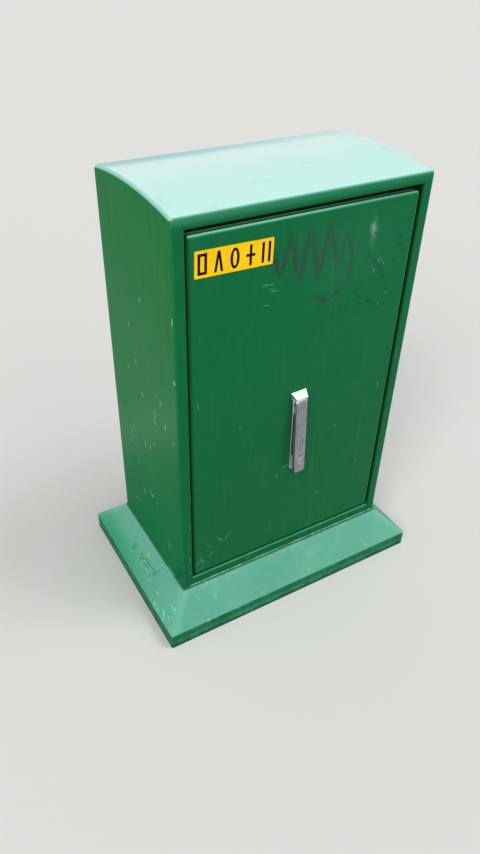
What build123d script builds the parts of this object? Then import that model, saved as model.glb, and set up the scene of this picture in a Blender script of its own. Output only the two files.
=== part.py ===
from build123d import *
import math
import os

os.makedirs("parts", exist_ok=True)

# A roadside utility cabinet: a moulded shell with an arched roof and one door,
# standing on a separate moulded plinth with a sloping skirt on all four sides.
# Millimetres. X runs along the front, Y to the back, Z up. The origin is on the
# ground, in the middle of the plinth.

# Shell
body_width = 600
body_depth = 356
front_height = 940
back_drop = 5
roof_rise = 15
shell_wall = 5
shell_edge_radius = 9
base_flange_thickness = 6
bead_out = 3
bead_height = 4
bead_taper = 25

# Door opening and the rebate behind it
side_strip = 27
top_strip = 23.5
bottom_strip = 25.5
opening_edge_radius = 2
jamb_thickness = 4
lip_depth = 26
lip_thickness = 4
lip_width = 41

# Plinth and the seal on it
skirt_out = 68
skirt_rise = 68
skirt_edge_height = 43
skirt_edge_radius = 8
skirt_corner_radius = 4
plinth_wall = 6
foot_thickness = 6
foot_opening_width = 480
foot_opening_depth = 250
foot_opening_radius = 20
anchor_spacing_x = 520
anchor_spacing_y = 290
anchor_radius = 7
seal_thickness = 2
seal_inset = 2
seal_width = 38

# Bolts between shell and plinth
bolt_edge_distance = 23
bolt_radius = 4
bolt_clearance = 0.5
bolt_flange_radius = 8.5
bolt_flange_height = 1.8
bolt_head_radius = 7
bolt_head_height = 5
nut_height = 6

# Cable entry
entry_width = 470
entry_depth = 220
entry_corner_radius = 15
gland_plate_overlap = 20
gland_plate_thickness = 3
gland_plate_corner = 6
gland_count = 3
gland_spacing = 80
gland_back_offset = 30
gland_bore_radius = 9
gland_thread_radius = 12
gland_hex_radius = 17
gland_hex_height = 6
gland_dome_radius = 14.5
gland_dome_height = 14
gland_thread_below = 9
gland_nut_height = 5

# Door
door_gap_side = 6
door_gap_top = 13
door_gap_bottom = 6
door_recess = 1.5
door_depth = 18
door_skin = 4
door_edge_wall = 4
door_return_width = 37
door_return_thickness = 3.5
door_edge_radius = 6
door_corner_radius = 6.5

# Door seal on the rebate lip
gasket_offset = 31
gasket_width = 8
gasket_chamfer = 2
gasket_gap = 0.3

# Concealed hinges
pivot_inset = 10
pivot_setback = 10
hinge_pin_radius = 2.5
hinge_knuckle_radius = 5
frame_knuckle_height = 30
door_knuckle_height = 20
knuckle_gap = 0.5
running_clearance = 0.05
hinge_end_distance = 130
hinge_arm_thickness = 4
hinge_arm_gap = 2
hinge_leaf_thickness = 3
hinge_leaf_width = 44
hinge_leaf_screw_spacing = 52
hinge_foot_screw_spacing = 18
hinge_screw_edge = 10
hinge_foot_overlap = 9
hinge_notch_margin = 6
hinge_pin_head_radius = 4
hinge_pin_head_height = 2

# Number plate
plate_width = 168
plate_height = 53
plate_thickness = 0.8
plate_from_side = 13
plate_from_top = 31.5
plate_lean = 1.1
plate_corner_radius = 2

# Swing handle
spindle_x = 3.5
spindle_z = 579
handle_lean = 2.5
lever_front = 17.5
lever_thickness = 8.5
lever_width = 30
lever_tail_length = 201
lever_tail_radius = 9
lever_edge_radius = 2.5
dish_width = 40
dish_top = 29
dish_tail_length = 197
dish_tail_radius = 12
dish_low_rim = 1.5
dish_floor = 0.8
dish_rim_width = 2.2
dish_boss_radius = 11
hood_crown_width = 30
hood_crown_height = 0.8
well_clearance = 1.5
well_floor = 1
lever_lift_gap = 0.5
spindle_radius = 6
hub_radius = 10
hub_height = 2.5
tongue_half_width = 4
tongue_radius = 3.5
lever_pin_radius = 2
lever_pin_height = 12.5
lever_pin_length = 25
lever_slot_skin = 1.2
dish_screw_high = 22
dish_screw_low = -150

# Lock cylinder and its swivelling cover
cylinder_y = -150
cylinder_radius = 8.5
cylinder_height = 33
housing_inset = 3
housing_margin = 4
housing_corner = 6
cylinder_tail_width = 10
cylinder_back = 5
cylinder_bevel = 0.4
plug_radius = 6.5
plug_sink = 0.6
key_slot_length = 8
key_slot_width = 1.6
key_slot_depth = 5
cover_pivot_y = -129
cover_length = 30
cover_width = 17
cover_lug_radius = 5.5
cover_thickness = 1.4
cover_bevel = 0.4
cover_gap = 0.1
cover_rivet_radius = 1.5

# Rack-and-pinion rod lock behind the door
gear_module = 1.5
pinion_teeth = 17
pressure_angle = 20
tooth_play = 0.1
rack_addendum = 1.35
rack_root_clearance = 0.35
rod_thickness = 6
rod_width = 11.3
rod_play = 0.4
rod_depth = 31
rod_end_gap = 1.5
rod_end_chamfer = 2
rack_run_in = 8
case_height = 76
case_wall = 3
case_pillar_width = 5.6
case_pillar_height = 10
case_lug_width = 11
case_lug_height = 26
case_corner_radius = 3
cover_plate_thickness = 2.5
journal_radius = 4
spindle_square = 8
guide_height = 12
guide_end_distance = 45
guide_wall = 5
guide_foot_width = 50
guide_foot_height = 18
guide_foot_thickness = 3
guide_screw_edge = 7

# Screws
screw_radius = 2.4
screw_hole_radius = 2.5
screw_head_radius = 4.5
screw_head_height = 3
screw_bite = 3
small_screw_radius = 1.6
small_screw_head_radius = 3
small_screw_head_height = 2

# Equipment plate and what it carries
equipment_width = 420
equipment_height = 700
equipment_thickness = 3
equipment_corner = 8
equipment_mid_z = 600
boss_length = 22
boss_radius = 12
boss_edge_distance = 30
rail_length = 380
rail_screw_inset = 20
rail_height = 35
rail_inner_height = 27
rail_depth = 7.5
rail_metal = 1
rail_upper_z = 800
rail_lower_z = 600
strip_length = 300
strip_ways = 20
strip_height = 46
strip_depth = 40
strip_top_height = 22
strip_slot = 1.2
strip_slot_depth = 12
earth_bar_z = 380
earth_bar_length = 260
earth_screw_inset = 35
insulator_inset = 15
earth_bar_height = 20
earth_bar_thickness = 5
earth_bar_screws = 8
insulator_radius = 9
insulator_length = 25

# Places worked out from the sizes
front_y = -body_depth / 2
back_y = body_depth / 2
plinth_top_z = skirt_edge_height + skirt_rise
base_z = plinth_top_z + seal_thickness
front_top_z = base_z + front_height
flange_top_z = base_z + base_flange_thickness

opening_width = body_width - 2 * side_strip
opening_top_z = front_top_z - top_strip
opening_bottom_z = base_z + bottom_strip
opening_height = opening_top_z - opening_bottom_z
opening_middle_z = (opening_top_z + opening_bottom_z) / 2

door_width = opening_width - 2 * door_gap_side
door_top_z = opening_top_z - door_gap_top
door_bottom_z = opening_bottom_z + door_gap_bottom
door_height = door_top_z - door_bottom_z
door_middle_z = (door_top_z + door_bottom_z) / 2
door_back_depth = door_recess + door_depth
skin_back_depth = door_recess + door_skin

plate_x = plate_from_side + (plate_width - door_width) / 2
plate_z = door_top_z - plate_from_top - plate_height / 2

pivot_x = pivot_inset - door_width / 2
pivot_y = front_y + door_recess + pivot_setback
hinge_heights = (door_top_z - hinge_end_distance, door_bottom_z + hinge_end_distance)

lean = math.radians(handle_lean)
handle_up = (-math.sin(lean), 0, math.cos(lean))
handle_right = (math.cos(lean), 0, math.sin(lean))
handle_origin = (spindle_x, front_y + door_recess, spindle_z)
head_radius = lever_width / 2
lever_back = lever_front - lever_thickness
plateau = lever_back - lever_lift_gap
well_radius = head_radius + well_clearance
hood_edge = well_radius + 0.3

pitch_radius = gear_module * pinion_teeth / 2
tooth_pitch = math.pi * gear_module
rack_root = pitch_radius + gear_module + rack_root_clearance
rod_outer = rack_root + rod_width
rod_back_depth = rod_depth + rod_thickness
platform_depth = rod_depth - rod_play
cover_depth = rod_back_depth + rod_play
case_width = 2 * (rod_outer + rod_play + case_pillar_width)
rod_travel = pitch_radius * math.pi / 2

plate_face_y = back_y - shell_wall - boss_length - equipment_thickness


def behind_front(depth):
    """Plane that faces outwards, at a depth behind the cabinet's front face."""
    return Plane.XZ.offset(-(front_y + depth))


def before_equipment(height):
    """Plane that faces the door, at a height above the equipment plate."""
    return Plane.XZ.offset(-(plate_face_y - height))


def handle_front(height):
    """Plane that faces outwards, at a height above the door's face, in line with the lever."""
    return Plane(origin=handle_origin, x_dir=handle_right, z_dir=(0, -1, 0)).offset(height)


# Side view of the handle: its first axis runs up the lever, its second away from the door
handle_side = Plane(origin=handle_origin, x_dir=handle_up, z_dir=handle_right)


def on_handle(across, along):
    """Place on the door, as (X, Z), of a point given across and along the leaning handle."""
    x = spindle_x + across * math.cos(lean) - along * math.sin(lean)
    z = spindle_z + across * math.sin(lean) + along * math.cos(lean)
    return x, z


def save(piece, name):
    """Labels a finished piece and writes it to its file."""
    piece.part.label = name
    export_step(piece.part, "parts/" + name + ".step")


def corners(width, height, middle=(0, 0)):
    """The four corners of a rectangle."""
    half_width = width / 2
    half_height = height / 2
    return [
        (middle[0] + across * half_width, middle[1] + up * half_height)
        for across in (-1, 1)
        for up in (-1, 1)
    ]


def screw_group(plane, points, length, side=1, small=False):
    """Socket screws with their heads on a plane: side is 1 for heads in front of it."""
    radius = small_screw_radius if small else screw_radius
    head = small_screw_head_radius if small else screw_head_radius
    height = small_screw_head_height if small else screw_head_height
    with BuildPart() as group:
        with BuildSketch(plane):
            with Locations(*points):
                Circle(radius)
        extrude(amount=-side * length)
        with BuildSketch(plane):
            with Locations(*points):
                Circle(head)
        extrude(amount=side * height)
        with BuildSketch(plane.offset(side * height)):
            with Locations(*points):
                RegularPolygon(radius=head * 0.45, side_count=6)
        extrude(amount=-side * height * 0.6, mode=Mode.SUBTRACT)
    return group


# Places of the screws and bolts
bolt_points = corners(body_width - 2 * bolt_edge_distance, body_depth - 2 * bolt_edge_distance)
anchor_points = corners(anchor_spacing_x, anchor_spacing_y)
gland_plate_width = entry_width + 2 * gland_plate_overlap
gland_plate_depth = entry_depth + 2 * gland_plate_overlap
gland_plate_screws = corners(entry_width + gland_plate_overlap, entry_depth + gland_plate_overlap)
gland_points = [
    ((index - (gland_count - 1) / 2) * gland_spacing, gland_back_offset)
    for index in range(gland_count)
]
case_screws = [(spindle_x + side * (case_width + case_lug_width) / 2, spindle_z) for side in (-1, 1)]
pillar_points = corners(
    case_width - case_pillar_width, case_height - case_pillar_height, (spindle_x, spindle_z)
)
lip_edge_top_z = opening_top_z - lip_width
lip_edge_bottom_z = opening_bottom_z + lip_width
upper_rod_end_z = lip_edge_top_z - rod_end_gap
lower_rod_end_z = lip_edge_bottom_z + rod_end_gap
rod_middle = rack_root + rod_width / 2
guide_places = {
    "upper": (spindle_x - rod_middle, upper_rod_end_z - guide_end_distance),
    "lower": (spindle_x + rod_middle, lower_rod_end_z + guide_end_distance),
}
guide_screws = [
    (x + side * (guide_foot_width / 2 - guide_screw_edge), z)
    for x, z in guide_places.values()
    for side in (-1, 1)
]
leaf_screw_x = pivot_x + hinge_leaf_width - hinge_screw_edge
leaf_screws = [
    (leaf_screw_x, z + up * hinge_leaf_screw_spacing / 2) for z in hinge_heights for up in (-1, 1)
]
foot_left = pivot_x - hinge_foot_overlap
foot_right = opening_width / -2 + lip_width + hinge_arm_gap + hinge_arm_thickness
foot_screws = [
    (foot_left + hinge_screw_edge, z + up * hinge_foot_screw_spacing / 2)
    for z in hinge_heights
    for up in (-1, 1)
]
dish_screws_at = [on_handle(0, dish_screw_high), on_handle(0, dish_screw_low)]
equipment_points = corners(
    equipment_width - 2 * boss_edge_distance,
    equipment_height - 2 * boss_edge_distance,
    (0, equipment_mid_z),
)

# Plinth: a hollow moulding with a vertical edge and a mitred sloping skirt
skirt_width = body_width + 2 * skirt_out
skirt_depth = body_depth + 2 * skirt_out


def skirt_view(plane, top_length, bottom_length):
    """Side view of the plinth, its ridges rounded over."""
    with BuildSketch(plane) as view:
        with BuildLine():
            Polyline(
                (-top_length / 2, plinth_top_z),
                (-bottom_length / 2, skirt_edge_height),
                (-bottom_length / 2, 0),
                (bottom_length / 2, 0),
                (bottom_length / 2, skirt_edge_height),
                (top_length / 2, plinth_top_z),
                close=True,
            )
        make_face()
        ridges = vertices().filter_by_position(
            Axis.Z, skirt_edge_height - 1, skirt_edge_height + 1
        )
        fillet(ridges, skirt_edge_radius)
    return view.sketch


with BuildPart() as plinth:
    extrude(
        skirt_view(Plane.YZ.offset(-skirt_width / 2), body_depth, skirt_depth), amount=skirt_width
    )
    extrude(
        skirt_view(Plane.XZ.offset(-skirt_depth / 2), body_width, skirt_width),
        amount=skirt_depth,
        mode=Mode.INTERSECT,
    )
    fillet(plinth.edges().filter_by(Axis.Z), skirt_corner_radius)
    # Hollow underneath, which follows the slopes
    with BuildSketch():
        Rectangle(skirt_width - 2 * plinth_wall, skirt_depth - 2 * plinth_wall)
    extrude(amount=skirt_edge_height - plinth_wall / 2, mode=Mode.SUBTRACT)
    with BuildSketch(Plane.XY.offset(skirt_edge_height - plinth_wall / 2)):
        Rectangle(skirt_width - 2 * plinth_wall, skirt_depth - 2 * plinth_wall)
    with BuildSketch(Plane.XY.offset(plinth_top_z - plinth_wall)):
        Rectangle(body_width - 2 * plinth_wall, body_depth - 2 * plinth_wall)
    loft(ruled=True, mode=Mode.SUBTRACT)
    # Foot flange that the ground anchors hold down
    with BuildSketch():
        Rectangle(skirt_width - plinth_wall, skirt_depth - plinth_wall)
        RectangleRounded(
            foot_opening_width, foot_opening_depth, foot_opening_radius, mode=Mode.SUBTRACT
        )
        with Locations(*anchor_points):
            Circle(anchor_radius, mode=Mode.SUBTRACT)
    extrude(amount=foot_thickness)
    # Cable way and bolt holes in the top
    with BuildSketch(Plane.XY.offset(plinth_top_z - plinth_wall)):
        RectangleRounded(entry_width, entry_depth, entry_corner_radius)
        with Locations(*bolt_points):
            Circle(bolt_radius + bolt_clearance)
    extrude(amount=plinth_wall, mode=Mode.SUBTRACT)
save(plinth, "plinth")

# Seal between plinth and shell
with BuildPart() as base_seal:
    with BuildSketch(Plane.XY.offset(plinth_top_z)):
        Rectangle(body_width - 2 * seal_inset, body_depth - 2 * seal_inset)
        Rectangle(
            body_width - 2 * (seal_inset + seal_width),
            body_depth - 2 * (seal_inset + seal_width),
            mode=Mode.SUBTRACT,
        )
        with Locations(*bolt_points):
            Circle(bolt_radius + bolt_clearance, mode=Mode.SUBTRACT)
    extrude(amount=seal_thickness)
save(base_seal, "base_seal")


def side_view(inset, bottom_z):
    """Side view of the shell with its arched roof, set in by a wall's thickness."""
    front = front_y + inset
    back = back_y - inset
    front_top = front_top_z - inset
    back_top = front_top_z - back_drop - inset
    crown = (front_top + back_top) / 2 + roof_rise
    with BuildSketch(Plane.YZ.offset(inset - body_width / 2)) as view:
        with BuildLine():
            Polyline((back, back_top), (back, bottom_z), (front, bottom_z), (front, front_top))
            ThreePointArc((front, front_top), ((front + back) / 2, crown), (back, back_top))
        make_face()
    return view.sketch


# Shell: roof, sides, back, front frame, rebate and bottom flange in one moulding
with BuildPart() as cabinet_shell:
    extrude(side_view(0, base_z), amount=body_width)
    outline_edges = cabinet_shell.edges().filter_by_position(
        Axis.Z, base_z + 1, front_top_z + 2 * roof_rise
    )
    fillet(outline_edges, shell_edge_radius)
    # Sloping bead round the bottom edge
    with BuildSketch(Plane.XY.offset(base_z)):
        RectangleRounded(
            body_width + 2 * bead_out, body_depth + 2 * bead_out, shell_edge_radius + bead_out
        )
    extrude(amount=bead_height, taper=bead_taper)
    extrude(
        side_view(shell_wall, flange_top_z), amount=body_width - 2 * shell_wall, mode=Mode.SUBTRACT
    )
    # Door opening, with its outer edge rounded over
    with BuildSketch(behind_front(shell_wall)):
        with Locations((0, opening_middle_z)):
            Rectangle(opening_width, opening_height)
    extrude(amount=2 * shell_wall, mode=Mode.SUBTRACT)
    front_face = cabinet_shell.faces().filter_by(Axis.Y).sort_by(Axis.Y)[0]
    fillet(front_face.inner_wires()[0].edges(), opening_edge_radius)
    # Jamb and lip of the rebate
    with BuildSketch(behind_front(lip_depth + lip_thickness)):
        with Locations((0, opening_middle_z)):
            Rectangle(opening_width + 2 * jamb_thickness, opening_height + 2 * jamb_thickness)
            Rectangle(opening_width, opening_height, mode=Mode.SUBTRACT)
    extrude(amount=lip_depth + lip_thickness - shell_wall)
    with BuildSketch(behind_front(lip_depth + lip_thickness)):
        with Locations((0, opening_middle_z)):
            Rectangle(opening_width + jamb_thickness, opening_height + jamb_thickness)
            RectangleRounded(
                opening_width - 2 * lip_width,
                opening_height - 2 * lip_width,
                jamb_thickness,
                mode=Mode.SUBTRACT,
            )
        with Locations(*foot_screws):
            Circle(screw_hole_radius, mode=Mode.SUBTRACT)
    extrude(amount=lip_thickness)
    # Moulded bosses on the back wall for the equipment plate
    with BuildSketch(Plane.XZ.offset(shell_wall / 2 - back_y)):
        with Locations(*equipment_points):
            Circle(boss_radius)
    extrude(amount=boss_length + shell_wall / 2)
    with BuildSketch(before_equipment(-equipment_thickness)):
        with Locations(*equipment_points):
            Circle(screw_hole_radius)
    extrude(amount=-boss_length + 2, mode=Mode.SUBTRACT)
    # Cable entry and screw holes in the bottom flange
    with BuildSketch(Plane.XY.offset(base_z)):
        RectangleRounded(entry_width, entry_depth, entry_corner_radius)
        with Locations(*bolt_points):
            Circle(bolt_radius + bolt_clearance)
        with Locations(*gland_plate_screws):
            Circle(screw_hole_radius)
    extrude(amount=base_flange_thickness, mode=Mode.SUBTRACT)
save(cabinet_shell, "cabinet_shell")

# Flanged bolts down through the shell's bottom flange, and their nuts
bolt_length = base_flange_thickness + seal_thickness + plinth_wall + nut_height + 3
with BuildPart() as body_bolts:
    with BuildSketch(Plane.XY.offset(flange_top_z)):
        with Locations(*bolt_points):
            Circle(bolt_flange_radius)
    extrude(amount=bolt_flange_height)
    with BuildSketch(Plane.XY.offset(flange_top_z)):
        with Locations(*bolt_points):
            RegularPolygon(radius=bolt_head_radius, side_count=6)
    extrude(amount=bolt_flange_height + bolt_head_height)
    with BuildSketch(Plane.XY.offset(flange_top_z)):
        with Locations(*bolt_points):
            Circle(bolt_radius)
    extrude(amount=-bolt_length)
save(body_bolts, "body_bolts")

with BuildPart() as body_nuts:
    with BuildSketch(Plane.XY.offset(plinth_top_z - plinth_wall)):
        with Locations(*bolt_points):
            RegularPolygon(radius=bolt_head_radius, side_count=6)
            Circle(bolt_radius + running_clearance, mode=Mode.SUBTRACT)
    extrude(amount=-nut_height)
save(body_nuts, "body_nuts")

# Gland plate over the cable entry, with its screws and cable glands
with BuildPart() as gland_plate:
    with BuildSketch(Plane.XY.offset(flange_top_z)):
        RectangleRounded(gland_plate_width, gland_plate_depth, gland_plate_corner)
        with Locations(*gland_plate_screws):
            Circle(screw_hole_radius, mode=Mode.SUBTRACT)
        with Locations(*gland_points):
            Circle(gland_thread_radius + running_clearance, mode=Mode.SUBTRACT)
    extrude(amount=gland_plate_thickness)
save(gland_plate, "gland_plate")

gland_plate_top_z = flange_top_z + gland_plate_thickness
gland_screw_length = gland_plate_thickness + base_flange_thickness
save(
    screw_group(Plane.XY.offset(gland_plate_top_z), gland_plate_screws, gland_screw_length),
    "gland_plate_screws",
)

with BuildPart() as cable_glands:
    with BuildSketch(Plane.XY.offset(flange_top_z - gland_thread_below)):
        with Locations(*gland_points):
            Circle(gland_thread_radius)
    extrude(amount=gland_thread_below + gland_plate_thickness)
    with BuildSketch(Plane.XY.offset(gland_plate_top_z)):
        with Locations(*gland_points):
            RegularPolygon(radius=gland_hex_radius, side_count=6)
    extrude(amount=gland_hex_height)
    with BuildSketch(Plane.XY.offset(gland_plate_top_z + gland_hex_height)):
        with Locations(*gland_points):
            Circle(gland_dome_radius)
    extrude(amount=gland_dome_height)
    dome_edges = cable_glands.edges().group_by(Axis.Z)[-1]
    fillet(dome_edges, (gland_dome_radius - gland_bore_radius) * 0.7)
    with BuildSketch(Plane.XY.offset(flange_top_z - gland_thread_below)):
        with Locations(*gland_points):
            Circle(gland_bore_radius)
    extrude(
        amount=gland_thread_below + gland_plate_thickness + gland_hex_height + gland_dome_height,
        mode=Mode.SUBTRACT,
    )
save(cable_glands, "cable_glands")

with BuildPart() as gland_nuts:
    with BuildSketch(Plane.XY.offset(flange_top_z)):
        with Locations(*gland_points):
            RegularPolygon(radius=gland_hex_radius, side_count=6)
            Circle(gland_thread_radius + running_clearance, mode=Mode.SUBTRACT)
    extrude(amount=-gland_nut_height)
save(gland_nuts, "gland_nuts")

# Door: one moulded tray, its edges turned in, with notches that the hinge arms swing through
notch_height = frame_knuckle_height + 2 * door_knuckle_height + 2 * hinge_notch_margin
with BuildPart() as door_panel:
    with BuildSketch(behind_front(door_back_depth)):
        with Locations((0, door_middle_z)):
            RectangleRounded(door_width, door_height, door_corner_radius)
    extrude(amount=door_depth)
    face_edges = door_panel.edges().group_by(Axis.Y)[0]
    fillet(face_edges, door_edge_radius)
    with BuildSketch(behind_front(door_back_depth)):
        with Locations((0, door_middle_z)):
            RectangleRounded(
                door_width - 2 * door_return_width,
                door_height - 2 * door_return_width,
                door_corner_radius,
            )
    extrude(amount=door_depth - door_skin, mode=Mode.SUBTRACT)
    with BuildSketch(behind_front(door_back_depth - door_return_thickness)):
        with Locations((0, door_middle_z)):
            Rectangle(door_width - 2 * door_edge_wall, door_height - 2 * door_edge_wall)
    extrude(amount=door_depth - door_return_thickness - door_skin, mode=Mode.SUBTRACT)
    with BuildSketch(behind_front(door_back_depth)):
        for height in hinge_heights:
            with Locations((door_edge_wall - door_width / 2, height)):
                Rectangle(door_return_width, notch_height, align=(Align.MIN, Align.CENTER))
    extrude(amount=door_return_thickness, mode=Mode.SUBTRACT)
    # Hole for the handle's boss and holes for its screws
    with BuildSketch(handle_front(-door_skin)):
        Circle(dish_boss_radius + 2 * running_clearance)
        with Locations((0, dish_screw_high), (0, dish_screw_low)):
            Circle(screw_hole_radius)
    extrude(amount=door_skin, mode=Mode.SUBTRACT)
    # Blind holes from inside for the lock, the rod guides and the hinges
    with BuildSketch(behind_front(skin_back_depth)):
        with Locations(*case_screws, *guide_screws, *leaf_screws):
            Circle(screw_hole_radius)
    extrude(amount=screw_bite, mode=Mode.SUBTRACT)
save(door_panel, "door_panel")

# Seal on the rebate lip, which the door's turned-in edge closes on
with BuildPart() as door_gasket:
    with BuildSketch(behind_front(lip_depth)):
        with Locations((0, opening_middle_z)):
            Rectangle(opening_width - 2 * gasket_offset, opening_height - 2 * gasket_offset)
            Rectangle(
                opening_width - 2 * (gasket_offset + gasket_width),
                opening_height - 2 * (gasket_offset + gasket_width),
                mode=Mode.SUBTRACT,
            )
    extrude(amount=lip_depth - door_back_depth - gasket_gap)
    chamfer(door_gasket.edges().group_by(Axis.Y)[0], gasket_chamfer)
save(door_gasket, "door_gasket")


def hinge_frame_leaf(middle_z):
    """Fixed hinge half: a knuckle on an arm that reaches round the lip to a foot behind it."""
    foot_front = front_y + lip_depth + lip_thickness
    foot_back = foot_front + hinge_arm_thickness
    arm_front = pivot_y - hinge_arm_thickness / 2
    with BuildPart() as leaf:
        with BuildSketch(Plane.XY.offset(middle_z - frame_knuckle_height / 2)):
            with BuildLine():
                Polyline(
                    (pivot_x, arm_front),
                    (foot_right, arm_front),
                    (foot_right, foot_back),
                    (foot_left, foot_back),
                    (foot_left, foot_front),
                    (foot_right - hinge_arm_thickness, foot_front),
                    (foot_right - hinge_arm_thickness, arm_front + hinge_arm_thickness),
                    (pivot_x, arm_front + hinge_arm_thickness),
                    close=True,
                )
            make_face()
            with Locations((pivot_x, pivot_y)):
                Circle(hinge_knuckle_radius)
                Circle(hinge_pin_radius + running_clearance, mode=Mode.SUBTRACT)
        extrude(amount=frame_knuckle_height)
        outer_bends = leaf.edges().filter_by(Axis.Z).group_by(Axis.X)[-1]
        fillet(outer_bends, hinge_arm_thickness * 0.75)
        points = [(x, z) for x, z in foot_screws if abs(z - middle_z) < frame_knuckle_height]
        with BuildSketch(behind_front(lip_depth + lip_thickness + hinge_arm_thickness)):
            with Locations(*points):
                Circle(screw_hole_radius)
        extrude(amount=hinge_arm_thickness, mode=Mode.SUBTRACT)
    return leaf


def hinge_door_leaf(middle_z):
    """Moving hinge half: a leaf on the door's skin with a knuckle above and below the fixed one."""
    leaf_front = front_y + skin_back_depth
    knuckle_start = frame_knuckle_height / 2 + knuckle_gap
    leaf_height = 2 * (knuckle_start + door_knuckle_height)
    with BuildPart() as leaf:
        with BuildSketch(Plane.XY.offset(middle_z - leaf_height / 2)):
            with Locations((pivot_x + hinge_knuckle_radius + 2, leaf_front)):
                Rectangle(
                    hinge_leaf_width - hinge_knuckle_radius - 2,
                    hinge_leaf_thickness,
                    align=(Align.MIN, Align.MIN),
                )
        extrude(amount=leaf_height)
        for start in (middle_z - leaf_height / 2, middle_z + knuckle_start):
            with BuildSketch(Plane.XY.offset(start)):
                with Locations((pivot_x, leaf_front)):
                    Rectangle(
                        hinge_knuckle_radius + 2, pivot_y - leaf_front, align=(Align.MIN, Align.MIN)
                    )
                with Locations((pivot_x, pivot_y)):
                    Circle(hinge_knuckle_radius)
                    Circle(hinge_pin_radius + running_clearance, mode=Mode.SUBTRACT)
            extrude(amount=door_knuckle_height)
        points = [(x, z) for x, z in leaf_screws if abs(z - middle_z) < leaf_height / 2]
        with BuildSketch(behind_front(skin_back_depth + hinge_leaf_thickness)):
            with Locations(*points):
                Circle(screw_hole_radius)
        extrude(amount=hinge_leaf_thickness, mode=Mode.SUBTRACT)
    return leaf


def hinge_pin(middle_z):
    """Headed pin dropped through all three knuckles from above."""
    half_length = frame_knuckle_height / 2 + knuckle_gap + door_knuckle_height
    with BuildPart() as pin:
        with BuildSketch(Plane.XY.offset(middle_z - half_length - 3)):
            with Locations((pivot_x, pivot_y)):
                Circle(hinge_pin_radius)
        extrude(amount=2 * half_length + 3)
        with BuildSketch(Plane.XY.offset(middle_z + half_length)):
            with Locations((pivot_x, pivot_y)):
                Circle(hinge_pin_head_radius)
        extrude(amount=hinge_pin_head_height)
        chamfer(pin.edges().group_by(Axis.Z)[0], 0.6)
    return pin


for place, height in zip(("upper", "lower"), hinge_heights):
    save(hinge_frame_leaf(height), place + "_hinge_frame_leaf")
    save(hinge_door_leaf(height), place + "_hinge_door_leaf")
    save(hinge_pin(height), place + "_hinge_pin")

foot_back_depth = lip_depth + lip_thickness + hinge_arm_thickness
save(
    screw_group(behind_front(foot_back_depth), foot_screws, hinge_arm_thickness + lip_thickness, -1),
    "hinge_foot_screws",
)
save(
    screw_group(
        behind_front(skin_back_depth + hinge_leaf_thickness),
        leaf_screws,
        hinge_leaf_thickness + screw_bite - 0.2,
        -1,
    ),
    "hinge_leaf_screws",
)

# Number plate, stuck on a little out of level
plate_tilt = math.radians(plate_lean)
plate_plane = Plane(
    origin=(plate_x, front_y + door_recess, plate_z),
    x_dir=(math.cos(plate_tilt), 0, -math.sin(plate_tilt)),
    z_dir=(0, -1, 0),
)
with BuildPart() as number_plate:
    with BuildSketch(plate_plane):
        RectangleRounded(plate_width, plate_height, plate_corner_radius)
    extrude(amount=plate_thickness)
save(number_plate, "number_plate")

# Handle dish: a wedge-shaped cast tray, deep under a sloping hood at its top
with BuildPart() as handle_dish:
    with BuildSketch(handle_side):
        with BuildLine():
            Polyline(
                (hood_edge, 0),
                (hood_edge, plateau),
                (-well_radius - dish_rim_width, plateau),
                (-dish_tail_length, dish_low_rim),
                (-dish_tail_length, 0),
                close=True,
            )
        make_face()
    extrude(amount=dish_width / 2, both=True)
    tail_edges = [
        edge
        for edge in handle_dish.edges().filter_by(Axis.Y)
        if edge.center().Z < spindle_z - dish_tail_length * 0.9
    ]
    fillet(tail_edges, dish_tail_radius)
    with BuildSketch(handle_front(0)):
        with Locations((0, (dish_top + hood_edge) / 2)):
            Rectangle(dish_width, dish_top - hood_edge)
    with BuildSketch(handle_front(lever_front)):
        with Locations((0, hood_edge + hood_crown_height / 2)):
            Rectangle(hood_crown_width, hood_crown_height)
    loft(ruled=True)
    # Recess for the fingers behind the lever
    with BuildSketch(handle_front(dish_floor)):
        recess_top = -well_radius - dish_rim_width
        recess_bottom = dish_rim_width - dish_tail_length
        with Locations((0, (recess_top + recess_bottom) / 2)):
            RectangleRounded(
                dish_width - 2 * dish_rim_width,
                recess_top - recess_bottom,
                dish_tail_radius - dish_rim_width,
            )
    extrude(amount=plateau, mode=Mode.SUBTRACT)
    # Foot for the lower fixing screw
    with BuildSketch(handle_front(0)):
        with Locations((0, dish_screw_low)):
            Circle(screw_hole_radius * 2)
    extrude(amount=screw_bite)
    # Round well that the lever's head turns and tips in
    with BuildSketch(handle_front(well_floor)):
        Circle(well_radius)
    extrude(amount=plateau - well_floor, mode=Mode.SUBTRACT)
    # Boss through the door, bored for the spindle
    with BuildSketch(handle_front(-door_skin)):
        Circle(dish_boss_radius)
    extrude(amount=door_skin)
    with BuildSketch(handle_front(-door_skin)):
        Circle(spindle_radius + running_clearance)
    extrude(amount=door_skin + well_floor, mode=Mode.SUBTRACT)
    # Blind screw holes from behind
    with BuildSketch(handle_front(0)):
        with Locations((0, dish_screw_high), (0, dish_screw_low)):
            Circle(screw_hole_radius)
    extrude(amount=screw_bite - 1, mode=Mode.SUBTRACT)
save(handle_dish, "handle_dish")

save(
    screw_group(behind_front(skin_back_depth), dish_screws_at, door_skin + screw_bite - 1.2, -1),
    "dish_screws",
)

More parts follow.
